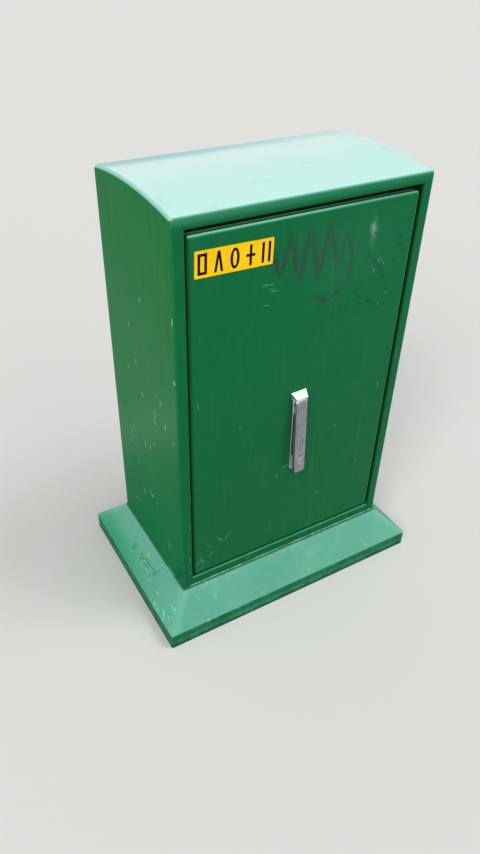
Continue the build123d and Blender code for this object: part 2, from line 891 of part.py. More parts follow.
# Spindle: a hub in the well with a tongue for the lever's pin, and a shaft into the lock
shaft_end = door_recess - rod_depth
square_end = shaft_end - rod_thickness
journal_end = square_end - rod_play - cover_plate_thickness - 2
with BuildPart() as handle_spindle:
    with BuildSketch(handle_front(well_floor + 4 * running_clearance)):
        Circle(hub_radius)
    extrude(amount=hub_height)
    with BuildSketch(handle_side):
        with Locations((0, (hub_height + lever_pin_height) / 2)):
            Rectangle(2 * tongue_radius, lever_pin_height - hub_height)
        with Locations((0, lever_pin_height)):
            Circle(tongue_radius)
            Circle(lever_pin_radius + running_clearance, mode=Mode.SUBTRACT)
    extrude(amount=tongue_half_width, both=True)
    with BuildSketch(handle_front(well_floor + 4 * running_clearance)):
        Circle(spindle_radius)
    extrude(amount=shaft_end - well_floor - 4 * running_clearance)
    with BuildSketch(handle_front(shaft_end)):
        Rectangle(spindle_square, spindle_square)
    extrude(amount=square_end - shaft_end)
    with BuildSketch(handle_front(square_end)):
        Circle(journal_radius)
    extrude(amount=journal_end - square_end)
save(handle_spindle, "handle_spindle")


def cylinder_outline(extra):
    """Front view of the lock cylinder: a round head above a narrower tail."""
    tail = cylinder_height - cylinder_radius + extra
    with BuildSketch(handle_front(cylinder_back)) as outline:
        with Locations((0, cylinder_y)):
            Circle(cylinder_radius + extra)
            Rectangle(cylinder_tail_width + 2 * extra, tail, align=(Align.CENTER, Align.MAX))
    return outline.sketch


# Lever: a rounded bar, slotted at its head for the spindle's tongue
with BuildPart() as handle_lever:
    with BuildSketch(handle_front(lever_back)):
        Circle(head_radius)
        Rectangle(lever_width, lever_tail_length, align=(Align.CENTER, Align.MAX))
        tail_corners = [
            vertex
            for vertex in vertices()
            if vertex.Z < spindle_z - lever_tail_length * 0.9 or vertex.Y < -lever_tail_length * 0.9
        ]
        fillet(tail_corners, lever_tail_radius)
    extrude(amount=lever_thickness)
    fillet(handle_lever.edges().group_by(Axis.Y)[0], lever_edge_radius)
    # Housing for the lock cylinder on the back
    with BuildSketch(handle_front(cylinder_back)):
        with Locations((0, cylinder_y + cylinder_radius - cylinder_height / 2)):
            RectangleRounded(
                lever_width - 2 * housing_inset, cylinder_height + 2 * housing_margin, housing_corner
            )
    extrude(amount=lever_back - cylinder_back)
    extrude(
        cylinder_outline(running_clearance), amount=lever_front - cylinder_back, mode=Mode.SUBTRACT
    )
    # Slot for the tongue, and the pin's bore across it
    with BuildSketch(handle_front(lever_back)):
        Rectangle(2 * tongue_half_width + 1, 4.6 * tongue_radius)
    extrude(amount=lever_thickness - lever_slot_skin, mode=Mode.SUBTRACT)
    with BuildSketch(handle_side):
        with Locations((0, lever_pin_height)):
            Circle(lever_pin_radius + running_clearance)
    extrude(amount=lever_pin_length / 2 + running_clearance, both=True, mode=Mode.SUBTRACT)
    # Rivet hole of the swivelling cover
    with BuildSketch(handle_front(lever_front)):
        with Locations((0, cover_pivot_y)):
            Circle(cover_rivet_radius + running_clearance)
    extrude(amount=-lever_thickness / 2, mode=Mode.SUBTRACT)
save(handle_lever, "handle_lever")

with BuildPart() as lever_pin:
    with BuildSketch(handle_side):
        with Locations((0, lever_pin_height)):
            Circle(lever_pin_radius)
    extrude(amount=lever_pin_length / 2, both=True)
save(lever_pin, "lever_pin")

# Lock cylinder: its body sits in the lever and the keyed plug turns in it
with BuildPart() as lock_cylinder:
    extrude(cylinder_outline(0), amount=lever_front - cylinder_back)
    with BuildSketch(handle_front(cylinder_back)):
        with Locations((0, cylinder_y)):
            Circle(plug_radius + running_clearance)
    extrude(amount=lever_front - cylinder_back, mode=Mode.SUBTRACT)
    chamfer(lock_cylinder.edges().group_by(Axis.Y)[0], cylinder_bevel)
save(lock_cylinder, "lock_cylinder")

with BuildPart() as key_plug:
    with BuildSketch(handle_front(cylinder_back)):
        with Locations((0, cylinder_y)):
            Circle(plug_radius)
    extrude(amount=lever_front - plug_sink - cylinder_back)
    with BuildSketch(handle_front(lever_front - plug_sink)):
        with Locations((0, cylinder_y)):
            Rectangle(key_slot_width, key_slot_length)
            Circle(key_slot_width)
    extrude(amount=-key_slot_depth, mode=Mode.SUBTRACT)
save(key_plug, "key_plug")

# Cover that swivels down over the cylinder, shown turned up out of the way
with BuildPart() as keyhole_cover:
    with BuildSketch(handle_front(lever_front + cover_gap)):
        with Locations((0, (cover_pivot_y - cylinder_y) + cover_pivot_y)):
            SlotOverall(cover_length, cover_width, rotation=90)
        with Locations((0, cover_pivot_y)):
            Circle(cover_lug_radius)
            Rectangle(
                2 * cover_lug_radius,
                cover_pivot_y - cylinder_y - (cover_length - cover_width) / 2,
                align=(Align.CENTER, Align.MIN),
            )
    extrude(amount=cover_thickness)
    chamfer(keyhole_cover.edges().group_by(Axis.Y)[0], cover_bevel)
    with BuildSketch(handle_front(lever_front + cover_gap)):
        with Locations((0, cover_pivot_y)):
            Circle(cover_rivet_radius)
    extrude(amount=-lever_thickness / 3)
save(keyhole_cover, "keyhole_cover")

# Rod lock: a cast case on the door's skin, a pinion, two racked rods and a cover plate
with BuildPart() as lock_case:
    with BuildSketch(behind_front(platform_depth)):
        with Locations((spindle_x, spindle_z)):
            RectangleRounded(case_width, case_height, case_corner_radius)
    extrude(amount=platform_depth - skin_back_depth)
    with BuildSketch(behind_front(skin_back_depth + case_wall)):
        with Locations((spindle_x, spindle_z)):
            RectangleRounded(case_width + 2 * case_lug_width, case_lug_height, case_corner_radius)
    extrude(amount=case_wall)
    with BuildSketch(behind_front(platform_depth - case_wall)):
        with Locations((spindle_x, spindle_z)):
            RectangleRounded(
                case_width - 2 * case_wall, case_height - 2 * case_wall, case_corner_radius
            )
    extrude(amount=platform_depth - case_wall - skin_back_depth, mode=Mode.SUBTRACT)
    with BuildSketch(behind_front(cover_depth)):
        with Locations(*pillar_points):
            Rectangle(case_pillar_width, case_pillar_height)
    extrude(amount=cover_depth - platform_depth)
    with BuildSketch(behind_front(cover_depth)):
        with Locations(*pillar_points):
            Circle(small_screw_radius + running_clearance)
    extrude(amount=cover_depth - platform_depth, mode=Mode.SUBTRACT)
    with BuildSketch(behind_front(platform_depth)):
        with Locations((spindle_x, spindle_z)):
            Circle(spindle_radius + running_clearance)
    extrude(amount=case_wall, mode=Mode.SUBTRACT)
    with BuildSketch(behind_front(skin_back_depth + case_wall)):
        with Locations(*case_screws):
            Circle(screw_hole_radius)
    extrude(amount=case_wall, mode=Mode.SUBTRACT)
save(lock_case, "lock_case")

save(
    screw_group(
        behind_front(skin_back_depth + case_wall), case_screws, case_wall + screw_bite - 0.2, -1
    ),
    "lock_case_screws",
)

with BuildPart() as lock_cover:
    with BuildSketch(behind_front(cover_depth + cover_plate_thickness)):
        with Locations((spindle_x, spindle_z)):
            RectangleRounded(case_width, case_height, case_corner_radius)
            Circle(journal_radius + running_clearance, mode=Mode.SUBTRACT)
        with Locations(*pillar_points):
            Circle(small_screw_radius + running_clearance, mode=Mode.SUBTRACT)
    extrude(amount=cover_plate_thickness)
save(lock_cover, "lock_cover")

save(
    screw_group(
        behind_front(cover_depth + cover_plate_thickness),
        pillar_points,
        cover_plate_thickness + 2 * rod_play + rod_thickness - 1,
        -1,
        small=True,
    ),
    "lock_cover_screws",
)


def polar(radius, angle):
    """Point of the pinion's outline, about the spindle, seen from the front."""
    return spindle_x + radius * math.cos(angle), spindle_z + radius * math.sin(angle)


def pinion_outline():
    """Spur gear with involute flanks: a tooth points right, so a gap faces left."""
    flank = math.radians(pressure_angle)
    base_radius = pitch_radius * math.cos(flank)
    tip_radius = pitch_radius + gear_module
    root_radius = pitch_radius - gear_module * 1.25
    half_pitch_angle = math.pi / 2 / pinion_teeth - tooth_play / pitch_radius

    def half_angle(radius):
        roll = math.acos(base_radius / radius)
        return half_pitch_angle + math.tan(flank) - flank - math.tan(roll) + roll

    middle_radius = (base_radius + tip_radius) / 2
    step = 2 * math.pi / pinion_teeth
    with BuildSketch(behind_front(rod_back_depth)) as outline:
        with BuildLine():
            for tooth in range(pinion_teeth):
                centre = tooth * step
                low = half_angle(base_radius)
                tip = half_angle(tip_radius)
                Line(polar(root_radius, centre - low), polar(base_radius, centre - low))
                ThreePointArc(
                    polar(base_radius, centre - low),
                    polar(middle_radius, centre - half_angle(middle_radius)),
                    polar(tip_radius, centre - tip),
                )
                ThreePointArc(
                    polar(tip_radius, centre - tip),
                    polar(tip_radius, centre),
                    polar(tip_radius, centre + tip),
                )
                ThreePointArc(
                    polar(tip_radius, centre + tip),
                    polar(middle_radius, centre + half_angle(middle_radius)),
                    polar(base_radius, centre + low),
                )
                Line(polar(base_radius, centre + low), polar(root_radius, centre + low))
                ThreePointArc(
                    polar(root_radius, centre + low),
                    polar(root_radius, centre + step / 2),
                    polar(root_radius, centre + step - low),
                )
        make_face()
    return outline.sketch


with BuildPart() as lock_pinion:
    extrude(pinion_outline(), amount=rod_thickness)
    with BuildSketch(handle_front(square_end)):
        Rectangle(
            spindle_square + 2 * running_clearance, spindle_square + 2 * running_clearance
        )
    extrude(amount=rod_thickness, mode=Mode.SUBTRACT)
save(lock_pinion, "lock_pinion")


def racked_rod(side, up, end_z):
    """Flat lock rod beside the pinion: side is -1 on its left, up is 1 if it runs upwards."""
    slope = math.tan(math.radians(pressure_angle))
    tip_half = tooth_pitch / 4 - tooth_play - rack_addendum * slope
    depth = rack_root - pitch_radius + rack_addendum
    root_half = tip_half + depth * slope
    # A gap of the left rack faces no tooth of the pinion, so its teeth sit half a pitch apart
    shift = 0 if side < 0 else 0.5
    first = round(rack_run_in / tooth_pitch)
    last = round((rod_travel + rack_run_in) / tooth_pitch)
    teeth = [spindle_z + up * (number + shift) * tooth_pitch for number in range(-first, last)]
    tip_x = spindle_x + side * (pitch_radius - rack_addendum)
    root_x = spindle_x + side * rack_root
    outer_x = spindle_x + side * rod_outer
    start_z = teeth[0] - up * tooth_pitch * 1.5
    points = [(root_x, start_z)]
    for tooth_z in teeth:
        points.append((root_x, tooth_z - up * root_half))
        points.append((tip_x, tooth_z - up * tip_half))
        points.append((tip_x, tooth_z + up * tip_half))
        points.append((root_x, tooth_z + up * root_half))
    points.append((root_x, end_z - up * rod_end_chamfer))
    points.append((root_x + side * rod_end_chamfer, end_z))
    points.append((outer_x - side * rod_end_chamfer, end_z))
    points.append((outer_x, end_z - up * rod_end_chamfer))
    points.append((outer_x, start_z))
    with BuildPart() as rod:
        with BuildSketch(behind_front(rod_back_depth)):
            with BuildLine():
                Polyline(*points, close=True)
            make_face()
        extrude(amount=rod_thickness)
    return rod


save(racked_rod(-1, 1, upper_rod_end_z), "upper_rod")
save(racked_rod(1, -1, lower_rod_end_z), "lower_rod")


def rod_guide(x, z):
    """Bracket on the door's skin with an eye that the rod slides through."""
    eye_back = rod_back_depth + rod_play + guide_wall
    with BuildPart() as guide:
        with BuildSketch(behind_front(skin_back_depth + guide_foot_thickness)):
            with Locations((x, z)):
                RectangleRounded(guide_foot_width, guide_foot_height, 3)
        extrude(amount=guide_foot_thickness)
        with BuildSketch(behind_front(eye_back)):
            with Locations((x, z)):
                Rectangle(rod_width + 2 * (rod_play + guide_wall), guide_height)
        extrude(amount=eye_back - skin_back_depth - guide_foot_thickness)
        with BuildSketch(Plane.XY.offset(z - guide_height / 2)):
            with Locations((x, front_y + rod_depth + rod_thickness / 2)):
                Rectangle(rod_width + 2 * rod_play, rod_thickness + 2 * rod_play)
            with Locations((x, front_y + (skin_back_depth + rod_depth) / 2)):
                RectangleRounded(
                    rod_width, rod_depth - skin_back_depth - 4 * guide_foot_thickness, 2
                )
        extrude(amount=guide_height, mode=Mode.SUBTRACT)
        points = [(sx, sz) for sx, sz in guide_screws if abs(sz - z) < 1]
        with BuildSketch(behind_front(skin_back_depth + guide_foot_thickness)):
            with Locations(*points):
                Circle(screw_hole_radius)
        extrude(amount=guide_foot_thickness, mode=Mode.SUBTRACT)
    return guide


for place, (x, z) in guide_places.items():
    save(rod_guide(x, z), place + "_rod_guide")

save(
    screw_group(
        behind_front(skin_back_depth + guide_foot_thickness),
        guide_screws,
        guide_foot_thickness + screw_bite - 0.2,
        -1,
    ),
    "rod_guide_screws",
)

# Equipment plate on the shell's bosses
rail_screw_points = [
    (side * (rail_length / 2 - rail_screw_inset), z)
    for z in (rail_upper_z, rail_lower_z)
    for side in (-1, 1)
]
insulator_points = [
    (side * (earth_bar_length / 2 - insulator_inset), earth_bar_z) for side in (-1, 1)
]
with BuildPart() as equipment_plate:
    with BuildSketch(before_equipment(0)):
        with Locations((0, equipment_mid_z)):
            RectangleRounded(equipment_width, equipment_height, equipment_corner)
        with Locations(*equipment_points, *rail_screw_points):
            Circle(screw_hole_radius, mode=Mode.SUBTRACT)
    extrude(amount=-equipment_thickness)
save(equipment_plate, "equipment_plate")

save(
    screw_group(before_equipment(0), equipment_points, equipment_thickness + boss_length / 2),
    "equipment_plate_screws",
)


def top_hat_rail(z):
    """Mounting rail with a raised channel and two turned-out edges."""
    half_inner = rail_inner_height / 2
    half_outer = rail_height / 2
    screws = [point for point in rail_screw_points if abs(point[1] - z) < 1]
    with BuildPart() as rail:
        with BuildSketch(Plane.YZ.offset(-rail_length / 2)):
            with BuildLine():
                inner = half_inner - rail_metal
                top = plate_face_y - rail_depth
                Polyline(
                    (plate_face_y, z - half_inner),
                    (plate_face_y, z + half_inner),
                    (top + rail_metal, z + half_inner),
                    (top + rail_metal, z + half_outer),
                    (top, z + half_outer),
                    (top, z + inner),
                    (plate_face_y - rail_metal, z + inner),
                    (plate_face_y - rail_metal, z - inner),
                    (top, z - inner),
                    (top, z - half_outer),
                    (top + rail_metal, z - half_outer),
                    (top + rail_metal, z - half_inner),
                    close=True,
                )
            make_face()
        extrude(amount=rail_length)
        with BuildSketch(before_equipment(0)):
            with Locations(*screws):
                Circle(screw_hole_radius)
        extrude(amount=rail_metal, mode=Mode.SUBTRACT)
    return rail


def terminal_strip(z):
    """Moulded strip of stepped terminals, slotted between its ways, that clips over a rail."""
    rail_front = plate_face_y - rail_depth
    half_rail = rail_height / 2
    half = strip_height / 2
    half_top = strip_top_height / 2
    foot = rail_front + rail_metal + running_clearance
    way = strip_length / strip_ways
    with BuildPart() as strip:
        with BuildSketch(Plane.YZ.offset(-strip_length / 2)):
            with BuildLine():
                Polyline(
                    (rail_front, z - half_rail - running_clearance),
                    (foot, z - half_rail - running_clearance),
                    (foot, z - half_rail + 2),
                    (foot + 2, z - half_rail + 2),
                    (foot + 2, z - half),
                    (rail_front - strip_depth / 2, z - half),
                    (rail_front - strip_depth / 2, z - half_top),
                    (rail_front - strip_depth, z - half_top),
                    (rail_front - strip_depth, z + half_top),
                    (rail_front - strip_depth / 2, z + half_top),
                    (rail_front - strip_depth / 2, z + half),
                    (foot + 2, z + half),
                    (foot + 2, z + half_rail - 2),
                    (foot, z + half_rail - 2),
                    (foot, z + half_rail + running_clearance),
                    (rail_front, z + half_rail + running_clearance),
                    close=True,
                )
            make_face()
        extrude(amount=strip_length)
        with BuildSketch(before_equipment(rail_depth + strip_depth)):
            with Locations((0, z)):
                with GridLocations(way, 0, strip_ways - 1, 1):
                    Rectangle(strip_slot, strip_top_height)
        extrude(amount=-strip_slot_depth, mode=Mode.SUBTRACT)
        with BuildSketch(before_equipment(rail_depth + strip_depth / 2)):
            with Locations((0, z + (half + half_top) / 2), (0, z - (half + half_top) / 2)):
                with GridLocations(way, 0, strip_ways, 1):
                    Circle(min(way, half - half_top) * 0.28)
        extrude(amount=-strip_slot_depth / 2, mode=Mode.SUBTRACT)
    return strip


for place, height in (("upper", rail_upper_z), ("lower", rail_lower_z)):
    save(top_hat_rail(height), place + "_rail")
    save(terminal_strip(height), place + "_terminal_strip")

save(
    screw_group(
        before_equipment(rail_metal), rail_screw_points, rail_metal + equipment_thickness, 1
    ),
    "rail_screws",
)

# Earth bar on two insulators
with BuildPart() as earth_bar_insulators:
    with BuildSketch(before_equipment(0)):
        with Locations(*insulator_points):
            Circle(insulator_radius)
    extrude(amount=insulator_length)
    with BuildSketch(before_equipment(insulator_length / 3)):
        with Locations(*insulator_points):
            Circle(insulator_radius + 3)
            Circle(insulator_radius - 1, mode=Mode.SUBTRACT)
    extrude(amount=insulator_length / 3)
save(earth_bar_insulators, "earth_bar_insulators")

earth_screw_pitch = (earth_bar_length - 2 * earth_screw_inset) / earth_bar_screws
earth_screw_points = [
    ((index - (earth_bar_screws - 1) / 2) * earth_screw_pitch, earth_bar_z)
    for index in range(earth_bar_screws)
]
with BuildPart() as earth_bar:
    with BuildSketch(before_equipment(insulator_length)):
        with Locations((0, earth_bar_z)):
            RectangleRounded(earth_bar_length, earth_bar_height, 2)
        with Locations(*earth_screw_points):
            Circle(screw_hole_radius, mode=Mode.SUBTRACT)
    extrude(amount=earth_bar_thickness)
save(earth_bar, "earth_bar")

save(
    screw_group(
        before_equipment(insulator_length + earth_bar_thickness),
        earth_screw_points,
        earth_bar_thickness,
    ),
    "earth_bar_screws",
)
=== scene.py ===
import math

import bpy
from mathutils import Matrix, Vector


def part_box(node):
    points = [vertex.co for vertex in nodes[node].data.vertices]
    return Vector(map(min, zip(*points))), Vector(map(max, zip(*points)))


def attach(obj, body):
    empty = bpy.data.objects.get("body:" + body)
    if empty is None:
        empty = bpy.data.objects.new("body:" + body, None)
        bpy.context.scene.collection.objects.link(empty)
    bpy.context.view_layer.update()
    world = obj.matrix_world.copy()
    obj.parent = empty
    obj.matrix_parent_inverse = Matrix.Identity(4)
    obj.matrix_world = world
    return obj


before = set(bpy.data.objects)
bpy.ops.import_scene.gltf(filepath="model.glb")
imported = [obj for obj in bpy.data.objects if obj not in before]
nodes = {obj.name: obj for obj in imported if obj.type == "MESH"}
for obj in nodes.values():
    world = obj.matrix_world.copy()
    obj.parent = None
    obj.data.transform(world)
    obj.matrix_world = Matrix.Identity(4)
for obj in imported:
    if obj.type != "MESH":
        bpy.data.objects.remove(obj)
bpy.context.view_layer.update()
scene = bpy.context.scene

# Places on the cabinet, in metres in the row frame
shell_low, shell_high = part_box("cabinet_shell")
door_low, door_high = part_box("door_panel")
_, plinth_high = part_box("plinth")
plate_low, plate_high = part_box("number_plate")
BEAD_OUT = 0.003
BEAD_HEIGHT = 0.0045
TOP_GAP = 0.013
SIDE_GAP = 0.006
ROOF_EDGE_DROP = 0.022
LIP_TOP = 0.043
SIDE = shell_high.x - BEAD_OUT
BACK = shell_high.y - BEAD_OUT
FRONT = -BACK
BEAD_TOP = shell_low.z + BEAD_HEIGHT
DOOR_FACE = door_low.y
OPENING_TOP = door_high.z + TOP_GAP
OPENING_SIDE = door_high.x + SIDE_GAP
ROOF_EDGE = shell_high.z - ROOF_EDGE_DROP
SLOPE_TOP = plinth_high.z


def srgb(red, green, blue):
    """Linear colour of an sRGB one given in 0 to 255."""

    def linear(value):
        value /= 255
        return value / 12.92 if value <= 0.04045 else ((value + 0.055) / 1.055) ** 2.4

    return (linear(red), linear(green), linear(blue), 1.0)


class Finish:
    """One procedural material while it is put together."""

    def __init__(self, name):
        self.material = bpy.data.materials.new(name)
        self.material.use_nodes = True
        self.tree = self.material.node_tree
        self.shader = self.tree.nodes["Principled BSDF"]
        self.coords = self.node("ShaderNodeTexCoord").outputs
        split = self.node("ShaderNodeSeparateXYZ", {0: self.coords["Object"]})
        self.x, self.y, self.z = split.outputs
        normal = self.node("ShaderNodeSeparateXYZ", {0: self.coords["Normal"]})
        self.nx, self.ny, self.nz = normal.outputs

    def node(self, kind, inputs=None, **settings):
        made = self.tree.nodes.new(kind)
        for key, value in settings.items():
            setattr(made, key, value)
        for key, value in (inputs or {}).items():
            if isinstance(value, bpy.types.NodeSocket):
                self.tree.links.new(value, made.inputs[key])
            else:
                made.inputs[key].default_value = value
        return made

    def math(self, operation, a, b=0.0, clamp=False):
        made = self.node("ShaderNodeMath", {0: a, 1: b}, operation=operation, use_clamp=clamp)
        return made.outputs[0]

    def both(self, *masks):
        """Product of masks and numbers."""
        total = masks[0]
        for mask in masks[1:]:
            total = self.math("MULTIPLY", total, mask)
        return total

    def either(self, *masks):
        """Greatest of masks."""
        total = masks[0]
        for mask in masks[1:]:
            total = self.math("MAXIMUM", total, mask)
        return total

    def step(self, value, low, high, to_low=0.0, to_high=1.0):
        """Smooth step from to_low to to_high as value goes from low to high."""
        if high < low:
            low, high, to_low, to_high = high, low, to_high, to_low
        made = self.node(
            "ShaderNodeMapRange",
            {0: value, 1: low, 2: high, 3: to_low, 4: to_high},
            interpolation_type="SMOOTHSTEP",
        )
        return made.outputs[0]

    def noise(self, scale, detail=3.0, rough=0.55, stretch=(1, 1, 1), shift=(0, 0, 0)):
        placed = self.node(
            "ShaderNodeMapping", {"Vector": self.coords["Object"], "Scale": stretch, "Location": shift}
        )
        made = self.node(
            "ShaderNodeTexNoise",
            {"Vector": placed.outputs[0], "Scale": scale, "Detail": detail, "Roughness": rough},
        )
        return made.outputs["Fac"]

    def mix(self, factor, a, b):
        made = self.node("ShaderNodeMix", {0: factor}, data_type="RGBA")
        for slot, value in ((6, a), (7, b)):
            if isinstance(value, bpy.types.NodeSocket):
                self.tree.links.new(value, made.inputs[slot])
            else:
                made.inputs[slot].default_value = value
        return made.outputs[2]

    def edges(self, radius=0.004, low=0.02, high=0.25):
        """1 along the piece's own edges and 0 on its flats."""
        bevel = self.node("ShaderNodeBevel", {0: radius}, samples=4)
        flat = self.node("ShaderNodeNewGeometry").outputs["Normal"]
        dot = self.node(
            "ShaderNodeVectorMath", {0: bevel.outputs[0], 1: flat}, operation="DOT_PRODUCT"
        )
        return self.step(self.math("SUBTRACT", 1.0, dot.outputs["Value"]), low, high)

    def flattened(self, keep, wobble=0.0, wobble_scale=60.0):
        """Object coordinates with the axes that keep leaves out set to 0, shaken a little."""
        made = self.node(
            "ShaderNodeVectorMath", {0: self.coords["Object"], 1: keep}, operation="MULTIPLY"
        ).outputs[0]
        if wobble:
            shake = self.node(
                "ShaderNodeTexNoise",
                {"Vector": self.coords["Object"], "Scale": wobble_scale, "Detail": 2.0},
            )
            centred = self.node(
                "ShaderNodeVectorMath", {0: shake.outputs["Color"], 1: (0.5, 0.5, 0.5)},
                operation="SUBTRACT",
            ).outputs[0]
            made = self.node(
                "ShaderNodeVectorMath", {0: centred, 1: (wobble * 2,) * 3, 2: made},
                operation="MULTIPLY_ADD",
            ).outputs[0]
        return made

    def strokes(self, keep, lines, wobble=0.0012, wobble_scale=60.0, sharp=2.5):
        """Mask of tapered marks, each (start, end, half width), in metres on a flattened plane."""
        point = self.flattened(keep, wobble, wobble_scale)
        total = 0.0
        for start, end, width in lines:
            along = Vector(end) - Vector(start)
            placed = self.node("ShaderNodeMapping", {0: point}, vector_type="TEXTURE")
            placed.inputs["Location"].default_value = (Vector(start) + Vector(end)) / 2
            turned = Vector((1, 0, 0)).rotation_difference(along)
            placed.inputs["Rotation"].default_value = turned.to_euler()
            placed.inputs["Scale"].default_value = (along.length / 2 + width, width, width)
            mark = self.node("ShaderNodeTexGradient", {0: placed.outputs[0]}, gradient_type="SPHERICAL")
            total = self.math("MAXIMUM", mark.outputs["Fac"], total)
        return self.math("MULTIPLY", total, sharp, clamp=True)

    def blob(self, keep, centre, radii, wobble=0.0, wobble_scale=30.0):
        """Mask that is 1 at a centre and 0 outside an ellipsoid."""
        point = self.flattened(keep, wobble, wobble_scale)
        off = self.node("ShaderNodeVectorMath", {0: point, 1: centre}, operation="SUBTRACT")
        scaled = self.node("ShaderNodeVectorMath", {0: off.outputs[0], 1: radii}, operation="DIVIDE")
        length = self.node("ShaderNodeVectorMath", {0: scaled.outputs[0]}, operation="LENGTH")
        return self.step(length.outputs["Value"], 1.0, 0.1)

    def set(self, **inputs):
        for name, value in inputs.items():
            socket = self.shader.inputs[name.replace("_", " ")]
            if isinstance(value, bpy.types.NodeSocket):
                self.tree.links.new(value, socket)
            else:
                socket.default_value = value

    def bump(self, height, strength, distance):
        made = self.node(
            "ShaderNodeBump", {"Height": height, "Strength": strength, "Distance": distance}
        )
        self.tree.links.new(made.outputs[0], self.shader.inputs["Normal"])


# Planes that marks are flattened onto. The ends of the marks in the materials below were read
# off enlargements of the photo by eye, and scratch programs that know the fitted camera turned
# most of them into millimetres
ON_FRONT = (1, 0, 1)
ON_SIDE = (0, 1, 1)
ON_PLAN = (1, 1, 0)


def front_line(x0, z0, x1, z1, width):
    """Line on the front, in millimetres: from and to (X, Z), and half its width."""
    return (x0 / 1000, 0, z0 / 1000), (x1 / 1000, 0, z1 / 1000), width / 1000


def side_line(y0, z0, y1, z1, width):
    """Line on the left side, in millimetres: from and to (Y, Z), and half its width."""
    return (0, y0 / 1000, z0 / 1000), (0, y1 / 1000, z1 / 1000), width / 1000


def plan_line(x0, y0, x1, y1, width):
    """Line on the plinth's slope seen from above, in millimetres."""
    return (x0 / 1000, y0 / 1000, 0), (x1 / 1000, y1 / 1000, 0), width / 1000


# Greens of the moulding: in the shade of the gap, low and high on the front, on the sides, and chalked by
# the weather the more a face looks at the sky. The paler high front is painted sheen, the paler sides are
# painted reflection, and the chalk carries painted sky reflection
GAP_GREEN = srgb(3, 52, 28)
LOW_GREEN = srgb(2, 95, 52)
HIGH_GREEN = srgb(5, 102, 58)
SIDE_LOW = srgb(8, 114, 66)
SIDE_HIGH = srgb(28, 122, 60)
SLOPE_GREEN = srgb(88, 161, 139)
LEFT_SLOPE = srgb(104, 180, 154)
SLOPE_SHADED_GREEN = srgb(54, 163, 118)
EDGE_GREEN = srgb(100, 172, 152)
MINT = srgb(156, 224, 204)
PALE_MINT = srgb(198, 239, 231)
PALEST = srgb(224, 247, 244)
SCRATCH_GREEN = srgb(112, 172, 134)
FLECK_MINT = srgb(132, 226, 190)


def moulding_base(f):
    """Unweathered green, a little paler high up as painted sheen and on the left and right sides as
    painted reflection.
    """
    fine = f.noise(34, 5, 0.65, shift=(3, 1, 2))
    patch = f.noise(3.0, 4, 0.6)
    uneven = f.math("MULTIPLY", f.step(patch, 0.3, 0.7, -1.0, 1.0), 0.16)
    height = f.math("ADD", f.step(f.z, 0.15, 1.05), uneven)
    front = f.mix(height, LOW_GREEN, HIGH_GREEN)
    side = f.mix(height, SIDE_LOW, SIDE_HIGH)
    sideways = f.step(f.math("ABSOLUTE", f.nx), 0.25, 0.9)
    # Painted reflection on the sides, painted sheen high up
    colour = f.mix(sideways, front, side)
    mottle = f.math("MULTIPLY", f.step(fine, 0.35, 0.75), 0.08)
    return f.mix(mottle, colour, srgb(50, 126, 86)), fine, patch, sideways


def orange_peel(f):
    """Height of the moulding's faint orange peel."""
    return f.math("MULTIPLY", f.noise(300, 2, 0.5), 0.3)


